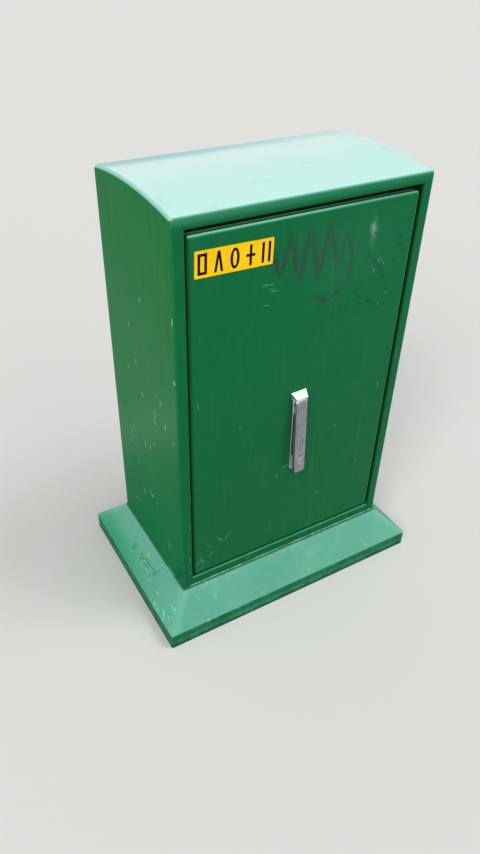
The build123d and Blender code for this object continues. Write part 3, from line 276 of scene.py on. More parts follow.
def green_shell():
    """The cabinet's shell: chalked roof with painted sky reflection, streaked sides, rubbed bead and a
    painted highlight on the sill.
    """
    f = Finish("green_shell")
    colour, fine, patch, sideways = moulding_base(f)
    # Faint dirt that the rain has drawn down the sides, darker below the roof
    streak = f.noise(11, 4, 0.6, stretch=(5, 5, 0.2))
    fall = f.step(f.z, 0.3, 1.0, 0.25, 1.0)
    upright = f.either(sideways, f.step(f.ny, 0.7, 0.95))
    colour = f.mix(f.both(f.step(streak, 0.45, 0.75), upright, fall, 0.34), colour, srgb(30, 92, 52))
    pale_streak = f.noise(16, 3, 0.6, stretch=(5, 5, 0.2), shift=(4, 8, 1))
    colour = f.mix(f.both(f.step(pale_streak, 0.5, 0.75), upright, 0.14), colour, srgb(88, 140, 96))
    # Painted stand-in for what the left side mirrors in the photo: a haze whose lower end slants,
    # and a slightly stronger band along that end
    slanting = f.math("ADD", f.z, f.math("MULTIPLY", f.y, 0.78))
    on_left = f.both(f.step(f.x, 0.012 - SIDE, 0.001 - SIDE), f.step(f.ny, -0.7, -0.3), sideways)
    haze = f.both(on_left, f.step(slanting, 0.32, 0.54), f.step(f.z, 1.05, 0.70, 0.1, 1.0))
    colour = f.mix(f.both(haze, 0.36), colour, srgb(66, 134, 88))
    band = f.both(on_left, f.step(slanting, 0.38, 0.49), f.step(slanting, 0.62, 0.50))
    colour = f.mix(f.both(band, 0.11), colour, srgb(116, 164, 134))
    # Chalk and painted sky reflection on what faces the sky, from the rounded edges up to the palest part
    # towards the back
    high = f.step(f.z, ROOF_EDGE - 0.014, ROOF_EDGE - 0.006)
    sky = f.math("ADD", f.nz, f.math("MULTIPLY", f.math("SUBTRACT", fine, 0.5), 0.08))
    chalk_and_sky_sheen = ((0.38, 0.74, EDGE_GREEN), (0.66, 0.93, MINT), (0.86, 0.985, PALE_MINT))
    for low_end, high_end, tint in chalk_and_sky_sheen:
        colour = f.mix(f.both(f.step(sky, low_end, high_end), high), colour, tint)
    back = f.both(f.step(f.y, -0.12, 0.10), f.step(sky, 0.9, 0.97), high)
    colour = f.mix(f.both(back, f.step(patch, 0.25, 0.6, 0.5, 1.0)), colour, PALEST)
    # Painted reflection and painted light at the roof's ends: a cooler rim of reflection at the back and
    # a pale arc of light down the left
    fading = f.step(f.x, -0.2, SIDE, 1.0, 0.45)
    rim = f.both(f.step(f.y, BACK - 0.090, BACK - 0.030), f.step(sky, 0.6, 0.9), high, fading, 0.85)
    colour = f.mix(rim, colour, srgb(156, 210, 208))
    arc = f.both(f.step(f.nx, -0.15, -0.45), f.step(sky, 0.30, 0.55), high, 0.8)
    colour = f.mix(arc, colour, srgb(160, 222, 202))
    # Dull patches on the roof
    stain = f.both(f.step(f.noise(13, 5, 0.7, shift=(1, 5, 0)), 0.58, 0.72), high, f.step(sky, 0.8, 0.95))
    colour = f.mix(f.both(stain, 0.22), colour, srgb(168, 206, 194))
    # Painted shade inside the gap, and a painted highlight on the sill at its bottom
    inner = f.both(f.step(f.y, FRONT + 0.0012, FRONT + 0.006), f.step(f.y, FRONT + 0.034, FRONT + 0.030))
    across = f.math("ABSOLUTE", f.x)
    framed = f.both(
        inner, f.step(across, SIDE - 0.007, SIDE - 0.009),
        f.step(f.z, OPENING_TOP + 0.010, OPENING_TOP + 0.006), f.step(f.z, 0.140, 0.143),
    )
    colour = f.mix(framed, colour, GAP_GREEN)
    sill = f.both(
        f.step(f.nz, 0.25, 0.7), f.step(f.z, 0.2, 0.15), f.step(f.z, 0.128, 0.132),
        f.step(f.y, FRONT + 0.0065, FRONT + 0.0030),
    )
    colour = f.mix(f.both(sill, f.step(fine, 0.2, 0.6, 0.6, 1.0)), colour, srgb(76, 156, 120))
    # Bead along the bottom, its upper half rubbed pale in front, at the back and in the front corners
    standing_out = f.either(
        f.step(across, SIDE + 0.0002, SIDE + 0.0008),
        f.step(f.math("ABSOLUTE", f.y), BACK + 0.0002, BACK + 0.0008),
    )
    bead = f.both(
        f.step(f.z, BEAD_TOP + 0.001, BEAD_TOP), f.step(f.z, BEAD_TOP - 0.0036, BEAD_TOP - 0.0024),
        standing_out,
    )
    grit = f.noise(48, 5, 0.75, shift=(7, 7, 3))
    worn = f.mix(f.step(grit, 0.35, 0.65), srgb(66, 138, 104), srgb(132, 182, 156))
    rubbed = f.step(f.both(sideways, f.step(f.y, -0.16, -0.05)), 0.0, 1.0, 1.0, 0.15)
    colour = f.mix(f.both(bead, rubbed, f.step(grit, 0.3, 0.5, 0.45, 1.0)), colour, worn)
    # Soil splashed up above the bead, and grime in the lower left front corner
    spatter = f.step(f.noise(30, 6, 0.75, shift=(2, 3, 9)), 0.50, 0.68)
    splash = f.both(f.step(f.z, 0.150, BEAD_TOP), spatter, f.step(f.nz, 0.3, 0.1))
    colour = f.mix(f.both(splash, 0.42), colour, srgb(58, 104, 78))
    near_corner = f.both(
        f.step(f.x, 0.034 - SIDE, 0.012 - SIDE), f.step(f.y, FRONT + 0.060, FRONT + 0.010)
    )
    blotched = f.step(f.noise(38, 6, 0.75, shift=(5, 1, 6)), 0.42, 0.62)
    grime = f.both(f.step(f.z, 0.240, 0.130), blotched, near_corner)
    colour = f.mix(f.both(grime, 0.8), colour, srgb(8, 78, 66))
    # Painted sky light on the strip under the roof, and painted shade at the opening's top and right
    glow = f.both(f.step(f.z, OPENING_TOP + 0.004, ROOF_EDGE + 0.002), f.step(f.ny, -0.5, -0.8), high)
    colour = f.mix(f.both(glow, f.step(f.x, SIDE, -SIDE, 0.3, 0.6)), colour, srgb(62, 140, 108))
    shade_right = f.both(
        f.step(f.x, OPENING_SIDE + 0.004, OPENING_SIDE),
        f.step(f.x, OPENING_SIDE - 0.004, OPENING_SIDE - 0.002),
        f.step(f.z, OPENING_TOP + 0.004, OPENING_TOP),
    )
    shade_top = f.both(
        f.step(f.z, OPENING_TOP + 0.006, OPENING_TOP),
        f.step(f.z, OPENING_TOP - 0.003, OPENING_TOP - 0.001),
        f.step(across, OPENING_SIDE + 0.004, OPENING_SIDE),
    )
    shade = f.both(f.either(shade_right, shade_top), f.step(f.y, FRONT + 0.004, FRONT + 0.002), 0.7)
    colour = f.mix(shade, colour, srgb(2, 70, 38))
    # Flecks, scratches and long faint stains on the left side
    left = f.both(f.step(f.nx, -0.7, -0.95), f.step(f.x, 0.010 - SIDE, 0.003 - SIDE))
    stains = f.strokes(ON_SIDE, [
        side_line(-135, 1036, -134, 981, 8), side_line(-142, 883, -145, 798, 14),
        side_line(-46, 912, -43, 859, 10), side_line(-80, 902, -77, 877, 12),
        side_line(57, 1006, 59, 897, 10), side_line(115, 1020, 118, 926, 12),
        side_line(-93, 1036, -94, 981, 6), side_line(17, 1025, 19, 966, 8),
    ], 0.004, 14, 1.4)
    colour = f.mix(f.both(stains, left, 0.20), colour, srgb(34, 84, 48))
    flecks = f.strokes(ON_SIDE, [
        side_line(48, 951, 47, 947, 2.0), side_line(49, 940, 47, 938, 1.6),
        side_line(-20, 838, -22, 832, 3.0), side_line(49, 754, 48, 740, 1.7),
        side_line(26, 669, 25, 660, 2.2), side_line(73, 629, 72, 618, 1.9),
        side_line(1, 597, -2, 585, 2.4), side_line(-171, 725, -172, 714, 2.4),
        side_line(-171, 864, -172, 846, 1.8), side_line(95, 401, 91, 395, 2.2),
        side_line(-48, 486, -50, 477, 1.8), side_line(-104, 220, -109, 190, 1.2),
        side_line(-2, 311, -14, 296, 1.6), side_line(-14, 296, -28, 302, 2.4),
        side_line(97, 203, 94, 197, 1.8), side_line(-153, 561, -154, 551, 1.4),
        side_line(36, 282, 30, 266, 2.2), side_line(-96, 634, -99, 618, 2.6),
        side_line(-79, 641, -80, 630, 1.2), side_line(-59, 586, -68, 571, 1.8),
        side_line(-68, 571, -57, 560, 1.3), side_line(-57, 560, -66, 545, 1.9),
        side_line(-119, 588, -120, 570, 1.9), side_line(-113, 577, -113, 566, 1.2),
        side_line(4, 458, 3, 436, 2.0), side_line(-22, 461, -25, 451, 2.0),
        side_line(86, 441, 84, 425, 1.6), side_line(84, 420, 80, 412, 1.4),
        side_line(156, 468, 154, 460, 1.6), side_line(52, 361, 50, 353, 1.4),
        side_line(84, 216, 78, 206, 1.6), side_line(-45, 300, -46, 288, 1.4),
    ], 0.0008)
    scrapes = f.strokes(ON_SIDE, [
        side_line(-98, 207, -106, 179, 1.4), side_line(-110, 193, -123, 153, 1.2),
        side_line(-120, 226, -126, 196, 1.2), side_line(-128, 208, -143, 172, 1.1),
        side_line(-102, 153, -110, 145, 2.0), side_line(-62, 150, -68, 140, 1.6),
    ], 0.0015)
    grain = f.step(f.noise(220, 3, 0.6), 0.3, 0.5, 0.35, 1.0)
    colour = f.mix(f.both(flecks, left, grain, 0.8), colour, srgb(150, 204, 160))
    colour = f.mix(f.both(scrapes, left, grain, 0.5), colour, SCRATCH_GREEN)
    # Nicks in the front frame
    facing = f.step(f.ny, -0.7, -0.95)
    nicks = f.strokes(ON_FRONT, [
        front_line(-277, 333, -278, 296, 0.9), front_line(-281, 270, -283, 236, 0.9),
        front_line(-280, 222, -279, 188, 1.2), front_line(-274, 425, -274, 380, 0.9),
        front_line(-288, 168, -271, 154, 1.0), front_line(-126, 126, -98, 131, 1.2),
        front_line(52, 133, 84, 137, 1.0), front_line(279, 648, 280, 610, 0.9),
    ], 0.0022, 70)
    colour = f.mix(f.both(nicks, facing, grain, 0.45), colour, SCRATCH_GREEN)
    rough = f.math("ADD", f.step(sky, 0.2, 0.9, 0.34, 0.5), f.math("MULTIPLY", fine, 0.12))
    f.set(Base_Color=colour, Roughness=rough, Specular_IOR_Level=f.step(sideways, 0.0, 1.0, 0.07, 0.02))
    f.bump(orange_peel(f), 0.35, 0.0003)
    return f.material


def green_door():
    """The door: deep green, a painted highlight on the top edge, painted shade in the gap, smears of dull
    paint, haze and scratches.
    """
    f = Finish("green_door")
    colour, fine, patch, sideways = moulding_base(f)
    facing = f.both(f.step(f.ny, -0.7, -0.95), f.step(f.y, DOOR_FACE + 0.002, DOOR_FACE + 0.001))
    drip = f.noise(14, 4, 0.6, stretch=(7, 7, 0.3), shift=(2, 0, 5))
    colour = f.mix(f.both(f.step(drip, 0.56, 0.72), facing, 0.16), colour, srgb(58, 124, 92))
    # Rounded edges with painted light: dark at the left, a thin light line at the right and a bright line
    # on top. Behind them the depth of the gap has painted shade, and the back of the top face painted
    # light
    outer = f.step(f.y, DOOR_FACE + 0.0065, DOOR_FACE + 0.003)
    left_edge = f.both(f.step(f.nx, -0.05, -0.5), outer)
    colour = f.mix(f.both(left_edge, 0.6), colour, srgb(2, 66, 36))
    right_edge = f.both(f.step(f.nx, 0.10, 0.5), outer)
    colour = f.mix(f.both(right_edge, 0.7), colour, srgb(92, 160, 126))
    fading = f.step(f.x, -0.1, SIDE, 1.0, 0.6)
    colour = f.mix(f.both(f.step(f.nz, 0.08, 0.42), outer, fading, 0.8), colour, srgb(52, 130, 94))
    top = f.both(f.step(f.nz, 0.42, 0.78), outer, fading)
    colour = f.mix(f.both(top, f.step(fine, 0.25, 0.6, 0.8, 1.0)), colour, srgb(126, 202, 170))
    deep = f.step(f.y, DOOR_FACE + 0.0045, DOOR_FACE + 0.008)
    shut = f.both(deep, f.step(f.y, DOOR_FACE + 0.019, DOOR_FACE + 0.0175))
    colour = f.mix(f.both(shut, 0.85), colour, GAP_GREEN)
    behind = f.both(f.step(f.nz, 0.5, 0.9), f.step(f.y, DOOR_FACE + 0.007, DOOR_FACE + 0.015))
    colour = f.mix(f.both(behind, fading), colour, srgb(120, 226, 176))
    # A plain zigzag of thin grey paint in place of the sprayed tag, partly rubbed off
    turns = ((-90, 959), (-65, 896), (-47, 985), (-20, 875), (0, 991), (26, 867), (45, 995), (75, 877))
    tail = ((75, 877), (91, 966), (112, 901), (101, 845), (57, 822), (16, 833))
    smears = f.strokes(
        ON_FRONT,
        [front_line(*one, *other, 8.5) for one, other in zip(turns, turns[1:])]
        + [front_line(*one, *other, 6.5) for one, other in zip(tail, tail[1:])],
        0.005, 16, 2.0,
    )
    thin = f.step(f.noise(26, 5, 0.7, shift=(6, 1, 1)), 0.30, 0.62, 0.35, 1.0)
    colour = f.mix(f.both(smears, facing, thin, 0.78), colour, srgb(46, 60, 58))
    # Faint dark strokes at the right, above one long thin curve, traced from the photo. There they
    # look like remains of handwriting
    scrawl = ((121, 822), (134, 812), (152, 799), (186, 779), (233, 769))
    slant = ((169, 889), (183, 872), (188, 860), (197, 849), (201, 834))
    hairs = f.strokes(
        ON_FRONT,
        [front_line(*one, *other, 2.8) for one, other in zip(scrawl, scrawl[1:])]
        + [front_line(*one, *other, 4.2) for one, other in zip(slant, slant[1:])]
        + [
            front_line(210, 954, 224, 951, 2.8), front_line(206, 941, 220, 934, 3.0),
            front_line(220, 934, 231, 933, 3.0), front_line(217, 926, 234, 919, 2.8),
            front_line(224, 913, 236, 908, 3.0), front_line(236, 908, 244, 910, 3.0),
            front_line(218, 905, 231, 907, 2.8), front_line(234, 931, 235, 918, 3.4),
            front_line(137, 921, 144, 911, 4.0), front_line(148, 906, 153, 896, 3.4),
            front_line(210, 816, 221, 801, 3.6), front_line(221, 801, 229, 792, 3.4),
            front_line(233, 801, 237, 788, 3.0), front_line(221, 872, 232, 872, 2.8),
        ],
        0.003, 40, 1.8,
    )
    colour = f.mix(f.both(hairs, facing, thin, 0.75), colour, srgb(4, 68, 56))
    # Haze left by a wiping cloth
    broken = f.step(f.noise(70, 4, 0.7, stretch=(1, 1, 0.45), shift=(2, 2, 7)), 0.36, 0.64, 0.15, 1.0)
    haze = f.both(f.blob(ON_FRONT, (0.159, 0, 0.955), (0.014, 1, 0.024), 0.010, 50), broken)
    wipe = f.both(f.blob(ON_FRONT, (0.157, 0, 0.950), (0.016, 1, 0.046), 0.014, 40), broken)
    broad = f.blob(ON_FRONT, (0.10, 0, 0.92), (0.20, 1, 0.13), 0.03, 6)
    colour = f.mix(f.both(broad, facing, 0.14), colour, srgb(56, 124, 94))
    colour = f.mix(f.both(wipe, facing, 0.4), colour, srgb(96, 150, 126))
    colour = f.mix(f.both(haze, facing, 0.8), colour, srgb(150, 184, 172))
    # Scratches and flecks
    scratches = f.strokes(ON_FRONT, [
        front_line(-206, 247, -188, 225, 1.5), front_line(-188, 225, -164, 248, 1.5),
        front_line(-266, 173, -244, 191, 1.8), front_line(-246, 167, -240, 182, 1.4),
        front_line(-229, 190, -212, 204, 1.6), front_line(-263, 157, -241, 162, 1.2),
        front_line(-31, 393, -9, 397, 2.2), front_line(-45, 370, -41, 381, 2.4),
        front_line(-30, 381, -21, 385, 1.6), front_line(-108, 890, -75, 884, 1.2),
        front_line(-87, 871, -71, 870, 1.8), front_line(179, 889, 181, 877, 1.5),
        front_line(186, 888, 188, 880, 1.7), front_line(194, 872, 197, 879, 1.3),
        front_line(171, 865, 172, 859, 2.1), front_line(215, 806, 217, 799, 1.7),
        front_line(196, 778, 203, 776, 1.6), front_line(-112, 884, -84, 888, 0.9),
        front_line(-96, 878, -78, 876, 0.8), front_line(-236, 238, -214, 212, 0.9),
        front_line(-252, 206, -244, 172, 0.9), front_line(-258, 196, -232, 172, 0.9),
        front_line(-104, 845, -86, 841, 1.3), front_line(115, 474, 126, 466, 1.1),
        front_line(-152, 562, -143, 558, 1.1), front_line(200, 335, 207, 323, 1.2),
        front_line(80, 267, 98, 261, 1.1), front_line(-69, 201, -47, 208, 1.1),
        front_line(-251, 660, -250, 641, 1.3), front_line(237, 563, 239, 541, 1.2),
    ], 0.0012)
    grain = f.step(f.noise(240, 3, 0.6), 0.3, 0.5, 0.3, 1.0)
    colour = f.mix(f.both(scratches, facing, grain, 0.5), colour, SCRATCH_GREEN)
    speck = f.step(f.noise(130, 2, 0.5, shift=(5, 5, 5)), 0.735, 0.775)
    colour = f.mix(f.both(speck, facing, 0.3), colour, srgb(120, 166, 136))
    # Painted shadow of the handle: darker green round its left side
    handle_shadow = f.blob(ON_FRONT, (-0.024, 0, 0.47), (0.016, 1, 0.135), 0.006, 20)
    colour = f.mix(f.both(handle_shadow, facing, 0.4), colour, srgb(0, 66, 32))
    rough = f.math("ADD", f.math("MULTIPLY", fine, 0.16), 0.26)
    rough = f.math("ADD", rough, f.math("MULTIPLY", f.either(smears, haze), 0.25))
    f.set(Base_Color=colour, Roughness=rough, Specular_IOR_Level=0.08)
    f.bump(orange_peel(f), 0.35, 0.0003)
    return f.material


def green_plinth():
    """The plinth: chalked slopes with painted sky light, painted shade in a greener band along the left
    edge, and a knocked and dirty lip.
    """
    f = Finish("green_plinth")
    fine = f.noise(30, 5, 0.65, shift=(3, 1, 2))
    patch = f.noise(4.0, 4, 0.6)
    width = f.math("ABSOLUTE", f.x)
    depth = f.math("ABSOLUTE", f.y)
    # Slopes: chalk with painted sky light, painted light where they face left, and a greener band of
    # painted shade along the left edge
    left_band_shade = f.both(f.step(f.x, -0.318, -0.366), f.step(f.y, -0.19, 0.16, 0.25, 1.0))
    slope = f.mix(f.step(patch, 0.3, 0.7), SLOPE_GREEN, srgb(96, 168, 145))
    slope = f.mix(f.step(f.nx, -0.2, -0.5), slope, LEFT_SLOPE)
    slope = f.mix(left_band_shade, slope, SLOPE_SHADED_GREEN)
    # Painted highlight along the mitres
    off_mitre = f.math("ABSOLUTE", f.math("SUBTRACT", f.math("SUBTRACT", width, depth), SIDE - BACK))
    slope = f.mix(f.both(f.step(off_mitre, 0.030, 0.004), 0.36), slope, srgb(122, 200, 172))
    slope = f.mix(f.both(f.step(fine, 0.5, 0.8), 0.25), slope, srgb(132, 196, 172))
    # Lip: a light rounded ridge, a fine line below it and a dark, dirty face
    mould = f.noise(24, 6, 0.78, shift=(1, 9, 4))
    uneven = f.math("ADD", f.z, f.math("MULTIPLY", f.math("SUBTRACT", mould, 0.5), 0.022))
    lip = f.mix(f.step(mould, 0.35, 0.7), srgb(6, 94, 58), srgb(28, 120, 84))
    band = f.both(f.step(uneven, 0.009, 0.017), f.step(uneven, 0.028, 0.020))
    lip = f.mix(f.both(band, f.step(mould, 0.25, 0.6, 0.05, 0.4)), lip, srgb(62, 146, 112))
    lip = f.mix(f.both(f.step(uneven, 0.011, 0.002), 0.85), lip, srgb(26, 52, 38))
    line = f.both(f.step(f.z, 0.0265, 0.0285), f.step(f.z, 0.0310, 0.0290))
    broken_line = f.both(line, f.step(f.noise(9, 3, 0.6, shift=(8, 8, 0)), 0.42, 0.58))
    lip = f.mix(f.both(broken_line, 0.4), lip, srgb(8, 58, 38))
    up = f.step(f.math("ADD", f.nz, f.math("MULTIPLY", f.math("SUBTRACT", mould, 0.5), 0.35)), 0.14, 0.50)
    colour = f.mix(up, lip, slope)
    # Soil and dust in the corner under the bead and in patches, and painted shadow right under the bead
    rust_dust = f.step(f.noise(40, 6, 0.8, shift=(6, 2, 2)), 0.5, 0.72)
    joint = f.both(f.step(f.z, 0.096, 0.107), f.step(f.noise(17, 5, 0.7), 0.42, 0.66), up)
    colour = f.mix(f.both(joint, 0.3), colour, srgb(150, 188, 164))
    colour = f.mix(f.both(rust_dust, up, 0.16), colour, srgb(160, 186, 164))
    # Painted shadow on the top of the slope under the bead, weaker on the left
    bead_shadow = f.both(
        f.step(f.z, SLOPE_TOP - 0.0038, SLOPE_TOP - 0.0024), up, f.step(f.nx, -0.2, -0.5, 1.0, 0.35)
    )
    colour = f.mix(f.both(bead_shadow, 0.75), colour, srgb(30, 92, 64))
    scuffs = f.step(f.noise(18, 6, 0.8, shift=(9, 4, 2)), 0.62, 0.7)
    colour = f.mix(f.both(scuffs, up, 0.28), colour, srgb(84, 158, 132))
    # Chips along the ridge
    ridge = f.both(
        f.step(f.z, LIP_TOP - 0.014, LIP_TOP - 0.006), f.step(f.z, LIP_TOP + 0.012, LIP_TOP + 0.002)
    )
    chip = f.both(f.step(f.noise(62, 5, 0.85, shift=(9, 2, 4)), 0.58, 0.64), ridge)
    colour = f.mix(f.both(chip, 0.7), colour, FLECK_MINT)
    # Grooves, scratches and flecks of the left slope, traced from the photo. There it can't be
    # told whether the grooves are scratches or cut letters
    left = f.both(f.step(f.nx, -0.25, -0.5), up)
    gash = ((-331, -24), (-330, -43), (-329, -61), (-329, -83))
    bow = ((-342, 1), (-337, 0), (-330, -12), (-330, -25))
    grooves = f.strokes(
        ON_PLAN,
        [plan_line(*one, *other, 1.9) for one, other in zip(gash, gash[1:])]
        + [plan_line(*one, *other, 2.0) for one, other in zip(bow, bow[1:])]
        + [
            plan_line(-340, 56, -341, 39, 2.0), plan_line(-334, 56, -336, 35, 2.0),
            plan_line(-329, 57, -331, 32, 2.0), plan_line(-332, 10, -331, 1, 2.6),
            plan_line(-335, -59, -334, -77, 1.8), plan_line(-337, -19, -338, -38, 1.7),
            plan_line(-320, -71, -322, -86, 1.6),
        ],
        0.003, 50,
    )
    ridges = f.strokes(ON_PLAN, [
        plan_line(-361, -67, -347, -68, 2.2), plan_line(-347, -62, -344, -84, 2.2),
        plan_line(-345, -3, -345, -23, 1.9), plan_line(-346, 50, -344, 34, 2.0),
        plan_line(-332, 50, -335, 34, 1.4), plan_line(-342, -32, -340, -56, 1.6),
        plan_line(-302, -108, -301, -129, 2.4),
    ], 0.004, 50)
    flecks = f.strokes(ON_PLAN, [
        plan_line(-319, -7, -322, -16, 2.2), plan_line(-311, -68, -309, -76, 2.2),
        plan_line(-344, -113, -348, -127, 2.4), plan_line(-361, -130, -363, -141, 2.8),
        plan_line(-362, -150, -366, -161, 2.4), plan_line(-354, -170, -359, -185, 2.9),
        plan_line(-360, -180, -367, -193, 2.2), plan_line(-351, -192, -356, -206, 2.6),
        plan_line(-334, -177, -341, -197, 1.8), plan_line(-332, -192, -336, -204, 2.2),
        plan_line(-303, -90, -301, -98, 2.0), plan_line(-346, -206, -352, -210, 1.8),
    ], 0.0045, 90, 2.0)
    colour = f.mix(f.both(grooves, left, 0.62), colour, srgb(26, 122, 88))
    colour = f.mix(f.both(ridges, left, 0.5), colour, srgb(146, 214, 186))
    colour = f.mix(f.both(flecks, up, 0.8), colour, FLECK_MINT)
    # Light scuffs of the front slope
    front = f.both(f.step(f.ny, -0.25, -0.5), up)
    front_scuffs = f.strokes(ON_PLAN, [
        plan_line(-242, -180, -238, -185, 2.6), plan_line(-161, -183, -157, -188, 2.8),
        plan_line(-265, -243, -261, -249, 3.4), plan_line(-246, -243, -242, -248, 2.8),
        plan_line(-276, -193, -268, -212, 2.4), plan_line(-234, -202, -227, -216, 2.4),
        plan_line(-229, -216, -222, -202, 2.2), plan_line(37, -232, 54, -242, 2.0),
        plan_line(231, -228, 239, -240, 2.6), plan_line(317, -215, 325, -227, 2.2),
        plan_line(125, -207, 146, -213, 1.8), plan_line(-98, -226, -86, -234, 2.0),
    ], 0.003, 40)
    colour = f.mix(f.both(front_scuffs, front, 0.32), colour, srgb(140, 204, 178))
    # What faces down stays plain and dark
    inside = f.step(f.nz, -0.3, -0.7)
    colour = f.mix(f.both(inside, 0.6), colour, srgb(30, 78, 54))
    rough = f.math("ADD", f.math("MULTIPLY", fine, 0.2), 0.4)
    f.set(Base_Color=colour, Roughness=rough, Specular_IOR_Level=0.08)
    relief = f.math("SUBTRACT", f.both(ridges, left, 1.2), f.both(grooves, left, 1.6))
    relief = f.math("SUBTRACT", relief, f.math("MULTIPLY", chip, 0.8))
    relief = f.math("SUBTRACT", relief, f.both(broken_line, f.step(f.nz, 0.4, 0.2), 1.4))
    f.bump(f.math("ADD", relief, orange_peel(f)), 0.6, 0.0008)
    return f.material


def hard_finish(
    name, colour, worn, metallic=0.0, rough=0.4, rough_spread=0.15, grain=60, edge_share=0.6,
    bump=0.0002, stretch=(1, 1, 1), dirt=0.2, dirt_colour=(0.05, 0.045, 0.035, 1), shine=0.5,
):
    """Metal or plastic with uneven tone, worn edges, grime and a fine surface."""
    f = Finish(name)
    tone = f.noise(grain, 4, 0.6, stretch=stretch)
    spread = f.noise(11, 4, 0.6, shift=(2, 7, 1))
    darker = tuple(channel * 0.78 for channel in colour[:3]) + (1.0,)
    shade = f.mix(f.step(tone, 0.3, 0.7), darker, colour)
    edge = f.both(f.edges(0.0016, 0.02, 0.3), f.step(tone, 0.3, 0.6, 0.4, 1.0), edge_share)
    shade = f.mix(edge, shade, worn)
    shade = f.mix(f.both(f.step(spread, 0.5, 0.75), dirt), shade, dirt_colour)
    uneven = f.math("ADD", f.math("MULTIPLY", tone, rough_spread), rough - rough_spread / 2)
    f.set(Base_Color=shade, Roughness=uneven, Metallic=metallic, Specular_IOR_Level=shine)
    f.bump(tone, 0.4, bump)
    return f.material


CASTING_METAL = 0.92
CASTING_ROUGH = 0.24
CASTING_SHINE = 0.5


def casting_coat(f):
    """Satin grey coat on zinc, with the three noises that it is made of."""
    grit = f.noise(170, 4, 0.65)
    cloud = f.noise(26, 4, 0.6, shift=(1, 3, 5))
    pits = f.step(f.noise(420, 3, 0.6, shift=(4, 4, 2)), 0.62, 0.70)
    shade = f.mix(f.step(cloud, 0.3, 0.7), srgb(138, 142, 148), srgb(158, 161, 167))
    shade = f.mix(f.both(f.step(grit, 0.45, 0.8), 0.14), shade, srgb(122, 124, 128))
    shade = f.mix(f.both(f.edges(0.0018, 0.02, 0.25), 0.6), shade, srgb(220, 224, 224))
    shade = f.mix(f.both(pits, 0.16), shade, srgb(90, 94, 96))
    return shade, grit, cloud, pits


def casting_relief(f, grit, pits):
    """Grain and small pits of a casting's surface."""
    f.bump(f.math("SUBTRACT", grit, f.math("MULTIPLY", pits, 0.5)), 0.25, 0.0002)


def grey_casting():
    """Castings behind the door, out of the weather."""
    f = Finish("grey_casting")
    shade, grit, _, pits = casting_coat(f)
    rough = f.math("ADD", f.math("MULTIPLY", grit, 0.10), CASTING_ROUGH)
    f.set(Base_Color=shade, Roughness=rough)
    f.set(Metallic=CASTING_METAL, Specular_IOR_Level=CASTING_SHINE)
    casting_relief(f, grit, pits)
    return f.material


def sky_sheen_casting(name, front=None):
    """Casting with a painted sky reflection, near white, where it faces the sky; front colours what faces
    ahead.
    """
    f = Finish(name)
    shade, grit, cloud, pits = casting_coat(f)
    # Painted sky reflection: near white, rougher and less metallic where the casting faces the sky
    sky = f.step(f.nz, 0.28, 0.55)
    dull = f.math("MULTIPLY", sky, 0.86)
    if front:
        ahead = f.step(f.ny, -0.90, -0.98)
        dull = f.either(dull, f.math("MULTIPLY", ahead, 0.6))
        shade = f.mix(ahead, shade, front)
        # Painted shade with a green reflection deep in the dish's recess
        recess = f.both(
            ahead, f.step(f.y, DOOR_FACE - 0.0030, DOOR_FACE - 0.0015), f.step(f.z, 0.42, 0.43)
        )
        shade = f.mix(recess, shade, srgb(66, 104, 98))
    bright = f.mix(f.step(cloud, 0.35, 0.65), srgb(228, 233, 229), srgb(238, 241, 239))
    shade = f.mix(sky, shade, bright)
    rough = f.math("ADD", f.math("MULTIPLY", grit, 0.10), f.step(sky, 0.0, 1.0, CASTING_ROUGH, 0.56))
    f.set(Base_Color=shade, Roughness=rough, Metallic=f.math("SUBTRACT", CASTING_METAL, dull))
    f.set(Specular_IOR_Level=f.step(sky, 0.0, 1.0, CASTING_SHINE, 0.1))
    casting_relief(f, grit, pits)
    return f.material


def yellow_plate():
    """Yellow film with a thin dark line of dirt at its edge and small scuffs."""
    f = Finish("plate_yellow")
    cloud = f.noise(16, 4, 0.6, shift=(2, 0, 3))
    scuff = f.step(f.noise(120, 4, 0.7, stretch=(1, 1, 0.4)), 0.62, 0.72)
    blotch = f.noise(62, 4, 0.65, stretch=(1, 1, 0.5), shift=(1, 1, 4))
    colour = f.mix(f.step(cloud, 0.3, 0.75), srgb(255, 207, 4), srgb(252, 196, 4))
    colour = f.mix(f.both(f.step(blotch, 0.50, 0.7), 0.45), colour, srgb(236, 168, 4))
    colour = f.mix(f.both(f.step(blotch, 0.44, 0.3), 0.5), colour, srgb(254, 222, 40))
    colour = f.mix(f.both(scuff, 0.3), colour, srgb(250, 222, 120))
    colour = f.mix(f.both(f.edges(0.0012, 0.02, 0.2), 0.5), colour, srgb(190, 140, 20))
    f.set(Base_Color=colour, Roughness=f.math("ADD", f.math("MULTIPLY", cloud, 0.2), 0.3))
    f.set(Specular_IOR_Level=0.12)
    f.bump(scuff, 0.15, 0.0001)
    return f.material


def dress(material, *names):
    for name in names:
        nodes[name].data.materials.clear()
        nodes[name].data.materials.append(material)


